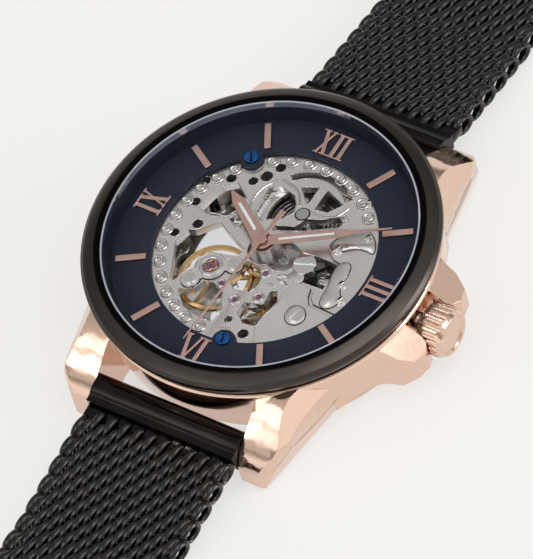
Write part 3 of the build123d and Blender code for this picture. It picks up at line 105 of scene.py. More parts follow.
class NodeSheet:
    """One material, or the world, while its nodes are laid out."""

    def __init__(self, name: str, world: bool = False) -> None:
        """Start an empty node tree with an output.

        Args:
            name: name of the material or world.
            world: whether it is a world.
        """
        self.owner = (bpy.data.worlds if world else bpy.data.materials).new(name)
        self.owner.use_nodes = True
        self.tree = self.owner.node_tree
        self.tree.nodes.clear()
        self.output = self.add("OutputWorld" if world else "OutputMaterial")

    def add(self, kind: str, inputs: dict | None = None, **settings: object) -> bpy.types.Node:
        """Add a node.

        Args:
            kind: the node's type, without ShaderNode before it.
            inputs: socket name or number, and the value or the output socket that feeds it.
            settings: attributes of the node itself.

        Returns:
            The new node.
        """
        node = self.tree.nodes.new("ShaderNode" + kind)
        for key, value in settings.items():
            setattr(node, key, value)
        for key, value in (inputs or {}).items():
            if isinstance(value, Socket):
                self.tree.links.new(value, node.inputs[key])
            else:
                node.inputs[key].default_value = value
        return node

    def math(self, operation: str, first: object, second: object = 0.0) -> Socket:
        """Work out one number from one or two others and return its socket."""
        return self.add("Math", {0: first, 1: second}, operation=operation).outputs[0]

    def ramp(self, factor: Socket, stops: list[tuple[float, Colour]]) -> Socket:
        """Turn a number into a colour.

        Args:
            factor: the number, 0 to 1.
            stops: places along the ramp and their colours, in order.

        Returns:
            The colour's socket.
        """
        node = self.add("ValToRGB", {"Fac": factor})
        elements = node.color_ramp.elements
        while len(elements) < len(stops):
            elements.new(0.5)
        for element, (place, colour) in zip(elements, stops):
            element.position = place
            element.color = (*colour, 1.0)
        return node.outputs["Color"]

    def spread(self, factor: Socket, source: Point, target: Point) -> Socket:
        """Map a number from one range onto another and return its socket."""
        node = self.add("MapRange", {"Value": factor, "From Min": source[0], "From Max": source[1],
                                               "To Min": target[0], "To Max": target[1]})
        return node.outputs["Result"]

    def place(self) -> Socket:
        """Return the surface point in the watch's own frame."""
        return self.add("TexCoord").outputs["Object"]

    def polar(self) -> tuple[Socket, Socket]:
        """Return the angle about the dial's axis and the distance from it."""
        parts = self.add("SeparateXYZ", {0: self.place()})
        angle = self.math("ARCTAN2", parts.outputs["Y"], parts.outputs["X"])
        flat = self.add("CombineXYZ", {"X": parts.outputs["X"], "Y": parts.outputs["Y"]})
        length = self.add("VectorMath", {0: flat.outputs[0]}, operation="LENGTH")
        return angle, length.outputs["Value"]

    def grain(self, way: Grain, size: float, stretch: float, detail: float = 3.0) -> Socket:
        """Lay a noise whose marks run one way.

        Args:
            way: the direction of the marks.
            size: width of a mark in metres.
            stretch: how many times longer than wide a mark is.
            detail: how many finer layers the noise has.

        Returns:
            The noise's socket, 0 to 1.
        """
        fine, coarse = 1.0 / size, 1.0 / (size * stretch)
        if way in (Grain.ROUND, Grain.RAYS):
            angle, radius = self.polar()
            across, along = (fine, coarse * ARC_RADIUS) if way is Grain.ROUND else (coarse, fine * ARC_RADIUS)
            vector = self.add("CombineXYZ", {"X": self.math("MULTIPLY", radius, across),
                                                       "Y": self.math("MULTIPLY", angle, along)}).outputs[0]
        else:
            scale = {Grain.EVEN: (fine, fine, fine), Grain.ALONG_X: (coarse, fine, fine),
                     Grain.ALONG_Y: (fine, coarse, fine)}[way]
            vector = self.add("Mapping", {"Vector": self.place(), "Scale": scale}).outputs[0]
        noise = self.add("TexNoise", {"Vector": vector, "Scale": 1.0, "Detail": detail,
                                                "Roughness": 0.55})
        return noise.outputs["Fac"]

    def relief(self, height: Socket, depth: float, edge: float) -> Socket:
        """Return a normal with a fine relief and softened edges.

        Args:
            height: the relief, 0 to 1.
            depth: its depth in metres.
            edge: radius of the softened edges in metres, or 0 for none.

        Returns:
            The normal's socket.
        """
        inputs = {"Height": height, "Distance": depth, "Strength": 1.0}
        if edge > 0:
            inputs["Normal"] = self.add("Bevel", {"Radius": edge}, samples=4).outputs[0]
        return self.add("Bump", inputs).outputs["Normal"]

    def close(self, shader: bpy.types.Node) -> bpy.types.ID:
        """Join a shader to the output and return the finished material or world."""
        self.tree.links.new(shader.outputs[0], self.output.inputs["Surface"])
        return self.owner

    def principled(self, inputs: dict) -> bpy.types.ID:
        """Finish the material with one principled shader that has these inputs."""
        return self.close(self.add("BsdfPrincipled", inputs))


@dataclass(frozen=True)
class Metal:
    """A metal, plated or bare: two shades of its colour, its gloss and its brushing."""

    name: str
    dark: Colour
    light: Colour
    gloss: Point = (0.15, 0.25)
    way: Grain = Grain.EVEN
    size: float = 0.3 * MM
    stretch: float = 12.0
    depth: float = 0.0006 * MM
    edge: float = 0.07 * MM
    coat: float = 0.0
    metallic: float = 1.0

    def material(self) -> bpy.types.Material:
        """Build the material, or return it if it is there."""
        if self.name in bpy.data.materials:
            return bpy.data.materials[self.name]
        sheet = NodeSheet(self.name)
        fine = sheet.grain(self.way, self.size, self.stretch)
        cloud = sheet.grain(Grain.EVEN, 4 * MM, 1.0, 2.0)
        mixed = sheet.math("ADD", sheet.math("MULTIPLY", fine, 0.6), sheet.math("MULTIPLY", cloud, 0.4))
        return sheet.principled({
            "Base Color": sheet.ramp(mixed, [(0.3, self.dark), (0.7, self.light)]),
            "Roughness": sheet.spread(mixed, (0.3, 0.7), self.gloss),
            "Metallic": self.metallic, "Coat Weight": self.coat, "Coat Roughness": 0.08,
            "Normal": sheet.relief(fine, self.depth, self.edge)})


@dataclass(frozen=True)
class BezelCoat:
    """Black coating of the bezel: glossy on its inner land, satin with a soft sheen on its slope."""

    name: str = "bezel_coat"
    land: float = 19.3 * MM
    step: float = 0.1 * MM

    def material(self) -> bpy.types.Material:
        """Build the material."""
        sheet = NodeSheet(self.name)
        radius = sheet.polar()[1]
        fine = sheet.grain(Grain.ROUND, 0.06 * MM, 60.0)
        slope = sheet.spread(radius, (self.land - self.step, self.land + self.step), (0.0, 1.0))
        tone = sheet.math("ADD", sheet.math("MULTIPLY", slope, 0.8), sheet.math("MULTIPLY", fine, 0.2))
        return sheet.principled({
            "Base Color": sheet.ramp(tone, [(0.1, (0.005, 0.005, 0.005)), (0.85, (0.060, 0.052, 0.047)),
                                            (1.0, (0.085, 0.073, 0.065))]),
            "Roughness": sheet.spread(tone, (0.0, 1.0), (0.06, 0.3)), "Metallic": 1.0,
            "Normal": sheet.relief(fine, 0.0004 * MM, 0.08 * MM)})


@dataclass(frozen=True)
class DialLacquer:
    """Dark navy lacquer, darker toward the edge, with a faint sunray."""

    name: str
    centre: Colour = (0.026, 0.031, 0.052)
    rim: Colour = (0.014, 0.018, 0.035)
    way: Grain = Grain.RAYS
    gloss: Point = (0.32, 0.45)
    specular: float = 0.12

    def material(self) -> bpy.types.Material:
        """Build the material."""
        sheet = NodeSheet(self.name)
        radius = sheet.polar()[1]
        fine = sheet.grain(self.way, 0.08 * MM, 80.0)
        fall = sheet.spread(radius, (12 * MM, 18.5 * MM), (0.0, 0.85))
        tone = sheet.math("ADD", fall, sheet.math("MULTIPLY", fine, 0.15))
        return sheet.principled({
            "Base Color": sheet.ramp(tone, [(0.05, self.centre), (0.95, self.rim)]),
            "Roughness": sheet.spread(fine, (0.3, 0.7), self.gloss), "Metallic": 0.15,
            "Specular IOR Level": self.specular,
            "Normal": sheet.relief(fine, 0.0008 * MM, 0.05 * MM)})


@dataclass(frozen=True)
class ClearCrystal:
    """Coated crystal: seen straight through, with a weak reflection that grows toward its edge."""

    name: str = "clear_crystal"
    index: float = 1.1
    tint: Colour = (0.985, 0.99, 1.0)

    def material(self) -> bpy.types.Material:
        """Build the material."""
        sheet = NodeSheet(self.name)
        smear = sheet.grain(Grain.EVEN, 6 * MM, 1.0, 2.0)
        through = sheet.add("BsdfTransparent", {"Color": (*self.tint, 1.0)})
        gloss = sheet.add("BsdfGlossy", {
            "Color": (0.9, 0.94, 1.0, 1.0), "Roughness": sheet.spread(smear, (0.3, 0.7), (0.01, 0.05))})
        weight = sheet.add("Fresnel", {"IOR": self.index}).outputs[0]
        return sheet.close(sheet.add("MixShader", {0: weight, 1: through.outputs[0],
                                                             2: gloss.outputs[0]}))


@dataclass(frozen=True)
class Gem:
    """Synthetic ruby or another glossy solid colour with cloudy depth."""

    name: str
    deep: Colour = (0.09, 0.02, 0.07)
    bright: Colour = (0.36, 0.10, 0.27)
    rough: float = 0.08
    clear: float = 0.25

    def material(self) -> bpy.types.Material:
        """Build the material."""
        sheet = NodeSheet(self.name)
        cloud = sheet.grain(Grain.EVEN, 0.5 * MM, 1.0, 4.0)
        return sheet.principled({
            "Base Color": sheet.ramp(cloud, [(0.35, self.deep), (0.65, self.bright)]),
            "Roughness": self.rough, "Transmission Weight": self.clear, "IOR": 1.76, "Coat Weight": 0.6,
            "Normal": sheet.relief(cloud, 0.002 * MM, 0.04 * MM)})


@dataclass(frozen=True)
class StripedPlate:
    """Nickel plating with broad parallel stripes, as on the rotor."""

    name: str = "striped_nickel"
    pitch: float = 2.2 * MM

    def material(self) -> bpy.types.Material:
        """Build the material."""
        sheet = NodeSheet(self.name)
        parts = sheet.add("SeparateXYZ", {0: sheet.place()})
        across = sheet.math("DIVIDE", sheet.math("ADD", parts.outputs["X"], parts.outputs["Y"]), self.pitch)
        stripe = sheet.math("FRACT", across)
        fine = sheet.grain(Grain.EVEN, 0.05 * MM, 1.0)
        height = sheet.math("ADD", stripe, sheet.math("MULTIPLY", fine, 0.15))
        return sheet.principled({
            "Base Color": sheet.ramp(height, [(0.0, (0.46, 0.44, 0.41)), (1.0, (0.66, 0.64, 0.60))]),
            "Roughness": sheet.spread(stripe, (0.0, 1.0), (0.22, 0.36)), "Metallic": 1.0,
            "Normal": sheet.relief(height, 0.012 * MM, 0.08 * MM)})


class Finishes:
    """Every finish of the watch, by the part of the watch that wears it."""

    rose = Metal("rose_gold_polished", (0.77, 0.545, 0.435), (0.80, 0.575, 0.465), (0.09, 0.13),
                 size=0.5 * MM, edge=0.12 * MM, depth=0.0001 * MM)
    rose_satin = Metal("rose_gold_brushed", (0.60, 0.37, 0.30), (0.73, 0.49, 0.415), (0.24, 0.36),
                       way=Grain.RAYS, size=0.07 * MM, stretch=40.0, depth=0.002 * MM, edge=0.05 * MM)
    nickel = Metal("nickel_satin", (0.68, 0.65, 0.615), (0.82, 0.785, 0.745), (0.22, 0.34),
                   size=0.09 * MM, stretch=1.0, depth=0.0015 * MM, edge=0.09 * MM)
    nickel_dark = Metal("nickel_shaded", (0.30, 0.29, 0.27), (0.45, 0.43, 0.41), (0.3, 0.42), size=0.1 * MM)
    shadow_steel = Metal("steel_in_shadow", (0.012, 0.012, 0.013), (0.035, 0.034, 0.033), (0.3, 0.5),
                         size=0.1 * MM)
    nickel_polished = Metal("nickel_polished", (0.66, 0.65, 0.62), (0.82, 0.80, 0.77), (0.05, 0.12),
                            size=0.2 * MM, edge=0.05 * MM)
    steel = Metal("steel_brushed", (0.40, 0.39, 0.38), (0.60, 0.59, 0.57), (0.18, 0.32), size=0.06 * MM,
                  stretch=8.0, edge=0.05 * MM)
    gilt = Metal("gilt_brass", (0.62, 0.38, 0.16), (0.86, 0.60, 0.30), (0.14, 0.26), size=0.12 * MM,
                 edge=0.05 * MM)
    blued = Metal("blued_steel", (0.0, 0.095, 0.33), (0.004, 0.13, 0.42), (0.3, 0.42), size=0.08 * MM,
                  edge=0.06 * MM, metallic=0.0)
    wire = Metal("black_wire", (0.014, 0.013, 0.0125), (0.034, 0.031, 0.029), (0.14, 0.24), size=0.25 * MM,
                 depth=0.002 * MM, edge=0.0, coat=0.6)
    black = Metal("black_gloss_coat", (0.012, 0.011, 0.011), (0.032, 0.029, 0.027), (0.08, 0.16),
                  way=Grain.ALONG_X, size=0.15 * MM, stretch=30.0, edge=0.1 * MM)
    seal = Metal("crystal_seal", (0.42, 0.46, 0.55), (0.66, 0.70, 0.78), (0.12, 0.2), way=Grain.ROUND,
                 metallic=0.6, coat=0.6)
    lume = Metal("luminous_fill", (0.80, 0.80, 0.76), (0.92, 0.92, 0.88), (0.5, 0.7), size=0.05 * MM,
                 depth=0.003 * MM, metallic=0.0)
    bezel = BezelCoat()
    crystal = ClearCrystal()
    dial = DialLacquer("navy_lacquer")
    flange = DialLacquer("navy_flange", (0.020, 0.025, 0.044), (0.014, 0.018, 0.034), Grain.ROUND,
                         (0.3, 0.42), 0.2)
    ruby = Gem("ruby")
    rotor = StripedPlate()


# ---- making pieces
def link_object(name: str, data: bpy.types.ID) -> bpy.types.Object:
    """Put an object with this data in the scene."""
    made = bpy.data.objects.new(name, data)
    bpy.context.scene.collection.objects.link(made)
    return made


def add_piece(name: str, mesh: Mesh, finish: object, body: str | None = "case",
              crease: float = 35.0) -> bpy.types.Object:
    """Link a finished mesh as a piece of the watch.

    Args:
        name: the piece's name.
        mesh: its mesh, already in place.
        finish: the finish it wears.
        body: the body it rides on, or None to leave it on no body.
        crease: edges sharper than this stay sharp, in degrees.

    Returns:
        The new object.
    """
    piece = link_object(name, mesh)
    mesh.name = name
    mesh.materials.clear()
    mesh.materials.append(finish.material())
    mesh.shade_smooth()
    mesh.set_sharp_from_angle(angle=radians(crease))
    if body:
        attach(piece, body)
    LOG.info("%s: %d faces", name, len(mesh.polygons))
    return piece


def plain_mesh(bm: BMesh) -> Mesh:
    """Close a bmesh into a mesh as it is."""
    mesh = bpy.data.meshes.new("piece")
    bm.to_mesh(mesh)
    bm.free()
    return mesh


def mesh_from(bm: BMesh) -> Mesh:
    """Close a bmesh into a mesh with its doubles merged and its faces turned outwards."""
    bmesh.ops.remove_doubles(bm, verts=bm.verts, dist=1e-7)
    bmesh.ops.recalc_face_normals(bm, faces=bm.faces)
    return plain_mesh(bm)


def round_edges(bm: BMesh, edges: list[bmesh.types.BMEdge], width: float, segments: int = 2) -> None:
    """Bevel edges by a width in metres."""
    bmesh.ops.bevel(bm, geom=edges, offset=width, offset_type="OFFSET", segments=segments, profile=0.5,
                    affect="EDGES", clamp_overlap=True, material=-1)


def add_box(bm: BMesh, sides: Triple, place: Matrix) -> None:
    """Add a box.

    Args:
        bm: the bmesh to add it to.
        sides: its sides in millimetres.
        place: what moves it from the origin.
    """
    made = bmesh.ops.create_cube(bm, size=1.0)["verts"]
    bmesh.ops.scale(bm, vec=[side * MM for side in sides], verts=made)
    bmesh.ops.transform(bm, matrix=place, verts=made)


def add_disc(bm: BMesh, place: Triple, radii: Point, depth: float, segments: int) -> None:
    """Add an upright disc with its middle at a place in metres, its other sizes in millimetres."""
    bmesh.ops.create_cone(bm, cap_ends=True, segments=segments, radius1=radii[0] * MM, radius2=radii[1] * MM,
                          depth=depth * MM, matrix=Matrix.Translation(place))


def wire_mesh(points: list[Vector], radius: float, sides: int, smooth: bool = False,
              closed: bool = False) -> Mesh:
    """Sweep a round wire along a line.

    Args:
        points: the line, in metres.
        radius: the wire's radius.
        sides: extra corners of its section beyond four, halved.
        smooth: whether the line is a smooth curve through the points' hull.
        closed: whether the line joins its own start.

    Returns:
        The wire's mesh.
    """
    curve = bpy.data.curves.new("wire", "CURVE")
    curve.dimensions = "3D"
    curve.bevel_depth = radius
    curve.bevel_resolution = sides
    curve.use_fill_caps = True
    spline = curve.splines.new("NURBS" if smooth else "POLY")
    spline.points.add(len(points) - 1)
    for point, place in zip(spline.points, points):
        point.co = (*place, 1.0)
    spline.use_cyclic_u = closed
    if smooth:
        spline.order_u = 3
        spline.use_endpoint_u = not closed
        spline.resolution_u = 6
    holder = bpy.data.objects.new("wire", curve)
    mesh = bpy.data.meshes.new_from_object(holder)
    bpy.data.objects.remove(holder)
    bpy.data.curves.remove(curve)
    return mesh


def append_mesh(bm: BMesh, mesh: Mesh, matrix: Matrix | None = None) -> None:
    """Add a mesh to a bmesh.

    Args:
        bm: the bmesh.
        mesh: the mesh to add.
        matrix: what moves it, or None to leave it in place.
    """
    start = len(bm.verts)
    bm.from_mesh(mesh)
    if matrix is not None:
        bm.verts.ensure_lookup_table()
        bmesh.ops.transform(bm, matrix=matrix, verts=bm.verts[start:])


def lathe(profile: Line, steps: int, centre: Point = (0.0, 0.0),
          span: Point = (0.0, tau)) -> BMesh:
    """Turn a closed outline of (radius, height) in millimetres round an upright axis.

    Args:
        profile: the outline's corners.
        steps: how many steps the turn has.
        centre: where the axis stands, in millimetres.
        span: first and last angle of the turn in radians.

    Returns:
        The turned solid, with its ends closed if the turn isn't a full one.
    """
    first, last = span
    full = last - first >= tau
    x, y = centre[0] * MM, centre[1] * MM
    bm = bmesh.new()
    corners = [bm.verts.new((x + r * MM, y, z * MM)) for r, z in profile]
    edges = [bm.edges.new((a, b)) for a, b in zip(corners, corners[1:] + corners[:1])]
    bmesh.ops.rotate(bm, cent=(x, y, 0), matrix=Matrix.Rotation(first, 3, "Z"), verts=corners)
    bmesh.ops.spin(bm, geom=corners + edges, cent=(x, y, 0), axis=(0, 0, 1), angle=last - first, steps=steps,
                   use_merge=full, use_duplicate=False)
    if not full:
        bmesh.ops.holes_fill(bm, edges=[e for e in bm.edges if e.is_boundary], sides=len(profile))
    return bm


def merged_part(node: str) -> BMesh:
    """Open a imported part's mesh with its loose corners joined."""
    bm = bmesh.new()
    bm.from_mesh(frame["nodes"][node].data)
    bmesh.ops.remove_doubles(bm, verts=bm.verts, dist=PACKED_ROUNDING)
    return bm


def refined_copy(node: str, finish: object, bevel: float = 0.0, angle: float = 30.0,
                 crease: float = 14.0) -> None:
    """Stand a smooth-shaded copy, with its sharp edges bevelled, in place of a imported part.

    Args:
        node: the part's name.
        finish: its finish.
        bevel: width of the bevels in metres, or 0 for none.
        angle: edges sharper than this are bevelled, in degrees.
        crease: edges sharper than this stay sharp, in degrees.
    """
    bm = merged_part(node)
    if bevel > 0:
        bmesh.ops.dissolve_limit(bm, angle_limit=radians(0.4), verts=bm.verts, edges=bm.edges,
                                 use_dissolve_boundaries=False)
        sharp = [e for e in bm.edges if e.is_manifold and e.calc_face_angle(0.0) > radians(angle)]
        round_edges(bm, sharp, bevel)
    piece = add_piece(node + "_fine", plain_mesh(bm), finish, body_of(node), crease)
    weighted = piece.modifiers.new("weighted", "WEIGHTED_NORMAL")
    weighted.keep_sharp = True
    weighted.weight = 80
    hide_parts(node)


def body_of(node: str) -> str:
    """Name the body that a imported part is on."""
    return frame["nodes"][node]["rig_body"]


def outlines(node: str, height: float) -> list[list[Vector]]:
    """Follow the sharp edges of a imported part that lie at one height.

    Args:
        node: the part's name.
        height: height of the edges in metres.

    Returns:
        One closed line for each outline.
    """
    bm = merged_part(node)
    level = 0.005 * MM
    sharp = {e for e in bm.edges if e.is_manifold and e.calc_face_angle(0.0) > radians(45)
             and all(abs(v.co.z - height) < level for v in e.verts)}
    lines = []
    while sharp:
        edge = min(sharp, key=lambda e: e.index)
        sharp.discard(edge)
        line, last = [edge.verts[0].co.copy()], edge.verts[1]
        while edge:
            line.append(last.co.copy())
            edge = next((e for e in last.link_edges if e in sharp), None)
            if edge:
                sharp.discard(edge)
                last = edge.other_vert(last)
        if (line[0] - line[-1]).length < level:
            lines.append(line[:-1])
    bm.free()
    return lines


def edge_line(name: str, node: str, height: float, radius: float, finish: object) -> None:
    """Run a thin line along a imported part's outlines at one height.

    Args:
        name: the new piece's name.
        node: the part's name.
        height: height of the outlines in metres.
        radius: the line's radius in metres.
        finish: its finish.
    """
    bm = bmesh.new()
    for line in outlines(node, height):
        append_mesh(bm, wire_mesh(line, radius, 1, closed=True))
    add_piece(name, mesh_from(bm), finish, body_of(node))


def dress(finish: object, *nodes: str) -> None:
    """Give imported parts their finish."""
    for node in nodes:
        slots = frame["nodes"][node].material_slots
        for entry in slots:
            entry.material = finish.material()
        if not slots:
            frame["nodes"][node].data.materials.append(finish.material())
        LOG.info("%s: dressed in %s", node, finish.name)


def on_circle(radius: float, turn: float, centre: Point = (0.0, 0.0), height: float = 0.0) -> Vector:
    """Find the point at a radius and an angle in radians round a centre."""
    return Vector((centre[0] + radius * cos(turn), centre[1] + radius * sin(turn), height))


def cut_corners(line: list[Point], rounds: int) -> list[Point]:
    """Smooth a closed line.

    Args:
        line: its corners.
        rounds: how many times every corner is cut.

    Returns:
        The smooth line.
    """
    for _ in range(rounds):
        line = [(near * x0 + far * x1, near * y0 + far * y1)
                for (x0, y0), (x1, y1) in zip(line, line[1:] + line[:1])
                for near, far in ((0.75, 0.25), (0.25, 0.75))]
    return line


# ---- sub-assemblies
@dataclass
class CaseWork:
    """Case, bezel, crystal, crown and back."""

    smooth_nodes: tuple[str, ...] = ("crown", "case_back")

    def build(self) -> None:
        """Build and dress the case's pieces."""
        refined_copy("mid_case", Finishes.rose, 0.22 * MM, 24.0, 24.0)
        for node in self.smooth_nodes:
            refined_copy(node, Finishes.rose)
        refined_copy("bezel", Finishes.bezel)
        refined_copy("crystal", Finishes.crystal)
        refined_copy("back_window", Finishes.crystal)
        refined_copy("gaskets", Finishes.seal)
        dress(Finishes.steel, "crown_tube", "spring_bars", "stem")


@dataclass
class DialWork:
    """Dial, flange, applied hour marks, blued screws and hands."""

    fills: tuple[tuple[str, float, Triple], ...] = (
        ("hour", 303.7, (8.7 * 0.245, 8.7 * 0.755, 0.2)),
        ("minute", 59.8, (15.0 * 0.123, 15.0 * 0.557, 0.16)))
    fill_height: float = 0.04
    fill_depth: float = 0.03
    screws: Line = ((-8.0, 10.1), (2.45, -12.9))
    slot_sides: Triple = (1.25, 0.2, 0.04)
    slot_angle: float = 116.7

    def build(self) -> None:
        """Build and dress the dial's pieces."""
        refined_copy("dial", Finishes.dial)
        refined_copy("inner_flange", Finishes.flange)
        refined_copy("applied_markers", Finishes.rose_satin, 0.05 * MM)
        refined_copy("dial_screws", Finishes.blued, 0.05 * MM)
        for node in ("hour_hand", "minute_hand", "seconds_hand"):
            refined_copy(node, Finishes.rose_satin, 0.03 * MM)
        self.slots()
        for hand, clock, sizes in self.fills:
            self.fill(hand, clock, sizes)

    def slots(self) -> None:
        """Darken the slots of the blued screws with dark boxes of painted shade, where the slots' recesses
        are shaded.
        """
        bm = bmesh.new()
        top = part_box("dial_screws")[1].z
        for x, y in self.screws:
            place = Matrix.Translation((x * MM, y * MM, top))
            add_box(bm, self.slot_sides, place @ Matrix.Rotation(radians(self.slot_angle), 4, "Z"))
        # painted shade: dark boxes in the slots of the blued screws
        add_piece("screw_slot_shade", mesh_from(bm), Finishes.shadow_steel, "case")

    def fill(self, hand: str, clock: float, sizes: Triple) -> None:
        """Lay a domed strip of luminous paint in a hand's slot.

        Args:
            hand: the hand it lies in, hour or minute.
            clock: the hand's angle, clockwise from 12 o'clock in degrees.
            sizes: start, end and half width of the strip in millimetres.
        """
        start, end, half = sizes
        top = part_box(hand + "_hand")[1].z
        place = Matrix.Rotation(-radians(clock), 4, "Z") @ Matrix.Translation(
            (0, (start + end) / 2 * MM, top - self.fill_depth * MM))
        bm = bmesh.new()
        add_box(bm, (2 * half, end - start, 2 * self.fill_height), place)
        round_edges(bm, bm.edges[:], self.fill_height * 0.9 * MM, 3)
        add_piece(hand + "_lume", mesh_from(bm), Finishes.lume, hand)


@dataclass
class PlateWork:
    """Skeleton plate with its scrolls, rails, jewel settings and screws."""

    scroll_circle: float = 12.35
    scroll_first: float = 44.5
    scroll_step: float = 10.45
    scroll_count: int = 22
    scroll_points: int = 26
    scroll_turn: float = 500.0
    scroll_lean: float = 150.0
    scroll_start: float = 0.22
    scroll_growth: float = 0.6
    scroll_wire: float = 0.16
    scroll_lift: float = 0.04
    screw_bearing: float = 128.0
    screw_room: float = 6.0
    holes: tuple[Triple, ...] = (
        (-9.0, 7.0, 0.65), (-11.1, 2.5, 0.6), (-11.1, -2.2, 0.6), (-9.2, -0.1, 0.65), (-4.4, 10.6, 0.65),
        (-5.3, 8.9, 0.75), (-6.4, 7.7, 0.6), (-11.6, 5.5, 0.6), (3.8, -11.0, 0.65))
    rails: tuple[Line, ...] = (
        ((-4.3, 3.2), (-5.0, 4.6), (-5.1, 6.2), (-4.6, 7.9), (-3.6, 9.0)),
        ((-3.3, 9.15), (-1.9, 9.1), (-0.6, 8.5), (0.1, 7.6), (0.5, 6.9)),
        ((2.2, 6.65), (3.6, 6.5), (4.9, 6.9), (5.7, 7.8), (6.0, 8.8)),
        ((-8.7, 1.8), (-7.8, 2.1), (-6.9, 2.0), (-6.1, 2.6)),
        ((2.6, -4.1), (3.1, -3.8), (3.7, -3.9)),
        ((1.0, -11.6), (1.4, -11.1), (2.1, -11.0)),
    )
    rail_wire: float = 0.15
    levers: tuple[tuple[bool, Line], ...] = (
        (True, ((9.1, 1.9), (10.4, 2.3), (10.9, 0.8), (10.8, -1.2), (11.9, -2.6), (11.5, -4.0), (10.4, -4.5),
                (9.6, -3.7), (9.6, -1.6), (9.0, 0.3))),
        (True, ((6.7, 3.2), (6.8, 4.2), (7.8, 5.5), (9.1, 6.6), (10.2, 7.0), (11.6, 5.7), (12.2, 4.2),
                (10.8, 4.5), (9.4, 4.0), (8.2, 2.9))),
        (True, ((6.9, -6.9), (7.0, -5.6), (8.0, -5.1), (9.1, -5.6), (9.5, -6.8), (8.8, -7.8), (7.6, -7.8))),
        (False, ((4.3, -2.9), (4.3, -1.9), (5.0, -0.9), (6.2, -1.1), (6.4, -2.3), (5.4, -3.4))),
    )
    lever_rounds: int = 3
    lever_thickness: float = 0.13
    lever_bevel: float = 0.05
    # radius of the dark wire of painted shadow round each lever's foot
    lever_shadow: float = 0.09
    # radii of the window bevel, the cover bevel, and the dark wire of painted shadow round the foot of the
    # cover and the bridge
    bevel_and_shadow_wires: Triple = (0.06, 0.045, 0.085)
    dotted: tuple[Point, Point] = ((6.9, 3.3), (7.3, 5.5))
    dot_count: int = 9
    dot: tuple[Point, float, int] = ((0.1, 0.1), 0.02, 14)
    lower_ring: tuple[float, float, float, float] = (9.6, 12.6, 4.65, 4.9)
    lower_ring_span: Point = (128.0, 216.0)
    lower_ring_steps: int = 40
    lower_screws: int = 5
    lower_screw: tuple[Point, float, int] = ((0.75, 0.68), 0.36, 32)
    # painted shade: dark discs a little below the plate's round holes; their drop, share of the hole's
    # radius, and size
    shade_disc_drop: float = 1.0
    shade_disc_share: float = 0.99
    shade_disc: tuple[float, int] = (0.1, 24)
    settings: tuple[tuple[Point, float, float, float], ...] = (
        ((1.8, -2.8), 0.4, 0.62, 0.0), ((2.79, -5.98), 0.5, 0.72, 0.0), ((0.4, -7.4), 0.5, 0.72, 0.0),
        ((-2.2, -6.0), 0.33, 0.55, 0.0), ((-4.5, -4.6), 1.02, 1.38, 0.27))
    spring_centre: Point = (-4.5, -4.6)
    spring_lift: float = 0.36
    spring_radius: float = 0.66
    spring_wave: float = 0.13
    spring_lobes: int = 4
    spring_points: int = 48
    spring_wire: float = 0.1

    @property
    def top(self) -> float:
        """Height of the plate's top, in metres."""
        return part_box("main_plate")[1].z

    def build(self) -> None:
        """Build and dress the movement's fixed parts."""
        for node in ("main_plate", "keyless_cover", "balance_bridge"):
            refined_copy(node, Finishes.nickel)
        refined_copy("movement_screws", Finishes.nickel_polished)
        dress(Finishes.nickel, "back_bridge", "balance_cock", "rotor_bearing")
        dress(Finishes.nickel_dark, "movement_ring")
        dress(Finishes.ruby, "jewels")
        window, bevel, painted_shadow = (width * MM for width in self.bevel_and_shadow_wires)
        edge_line("window_bevels", "main_plate", self.top, window, Finishes.nickel_polished)
        for node in ("keyless_cover", "balance_bridge"):
            low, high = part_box(node)
            edge_line(node + "_bevel", node, high.z, bevel, Finishes.nickel_polished)
            # painted shadow: a dark wire round the foot of each part where it sits on the plate
            edge_line(node + "_gap", node, low.z, painted_shadow, Finishes.shadow_steel)
        for method in (self.scrolls, self.lever_plates, self.small_holes, self.lower_plate, self.painted_hole_shade,
                       self.rail_set, self.jewel_settings, self.shock_spring):
            method()

    def scrolls(self) -> None:
        """Raise the row of scrolls round the plate's rim."""
        shares = [i / (self.scroll_points - 1) for i in range(self.scroll_points)]
        spiral = [on_circle((self.scroll_start + self.scroll_growth * share) * MM,
                            radians(self.scroll_turn) * share) for share in shares]
        scroll = wire_mesh(spiral, self.scroll_wire * MM, 2)
        height = self.top + self.scroll_lift * MM
        bm = bmesh.new()
        for i in range(self.scroll_count):
            bearing = self.scroll_first + self.scroll_step * i
            if abs(bearing - self.screw_bearing) < self.screw_room:
                continue
            place = (Matrix.Rotation(radians(bearing), 4, "Z")
                     @ Matrix.Translation((self.scroll_circle * MM, 0, height))
                     @ Matrix.Rotation(radians(self.scroll_lean), 4, "Z"))
            append_mesh(bm, scroll, place)
        add_piece("plate_scrolls", mesh_from(bm), Finishes.nickel_polished)

    def lever_plates(self) -> None:
        """Lay thin bevelled levers on the cover and the plate, each with a dark wire of painted shadow round
        its foot.
        """
        heights = {True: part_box("keyless_cover")[1].z, False: self.top}
        plates, foot_shadows = bmesh.new(), bmesh.new()
        for on_cover, line in self.levers:
            height = heights[on_cover]
            points = [Vector((x * MM, y * MM, height)) for x, y in cut_corners(list(line), self.lever_rounds)]
            # painted shadow: a dark wire round the lever's foot
            append_mesh(foot_shadows, wire_mesh(points, self.lever_shadow * MM, 1, closed=True))
            foot = plates.faces.new([plates.verts.new(point) for point in points])
            made = bmesh.ops.extrude_face_region(plates, geom=[foot])["geom"]
            verts = [v for v in made if isinstance(v, bmesh.types.BMVert)]
            bmesh.ops.translate(plates, vec=(0, 0, self.lever_thickness * MM), verts=verts)
            rim = [e for e in made if isinstance(e, bmesh.types.BMEdge)]
            round_edges(plates, rim, self.lever_bevel * MM)
        add_piece("cover_levers", mesh_from(plates), Finishes.nickel)
        add_piece("lever_painted_shadows", mesh_from(foot_shadows), Finishes.shadow_steel)

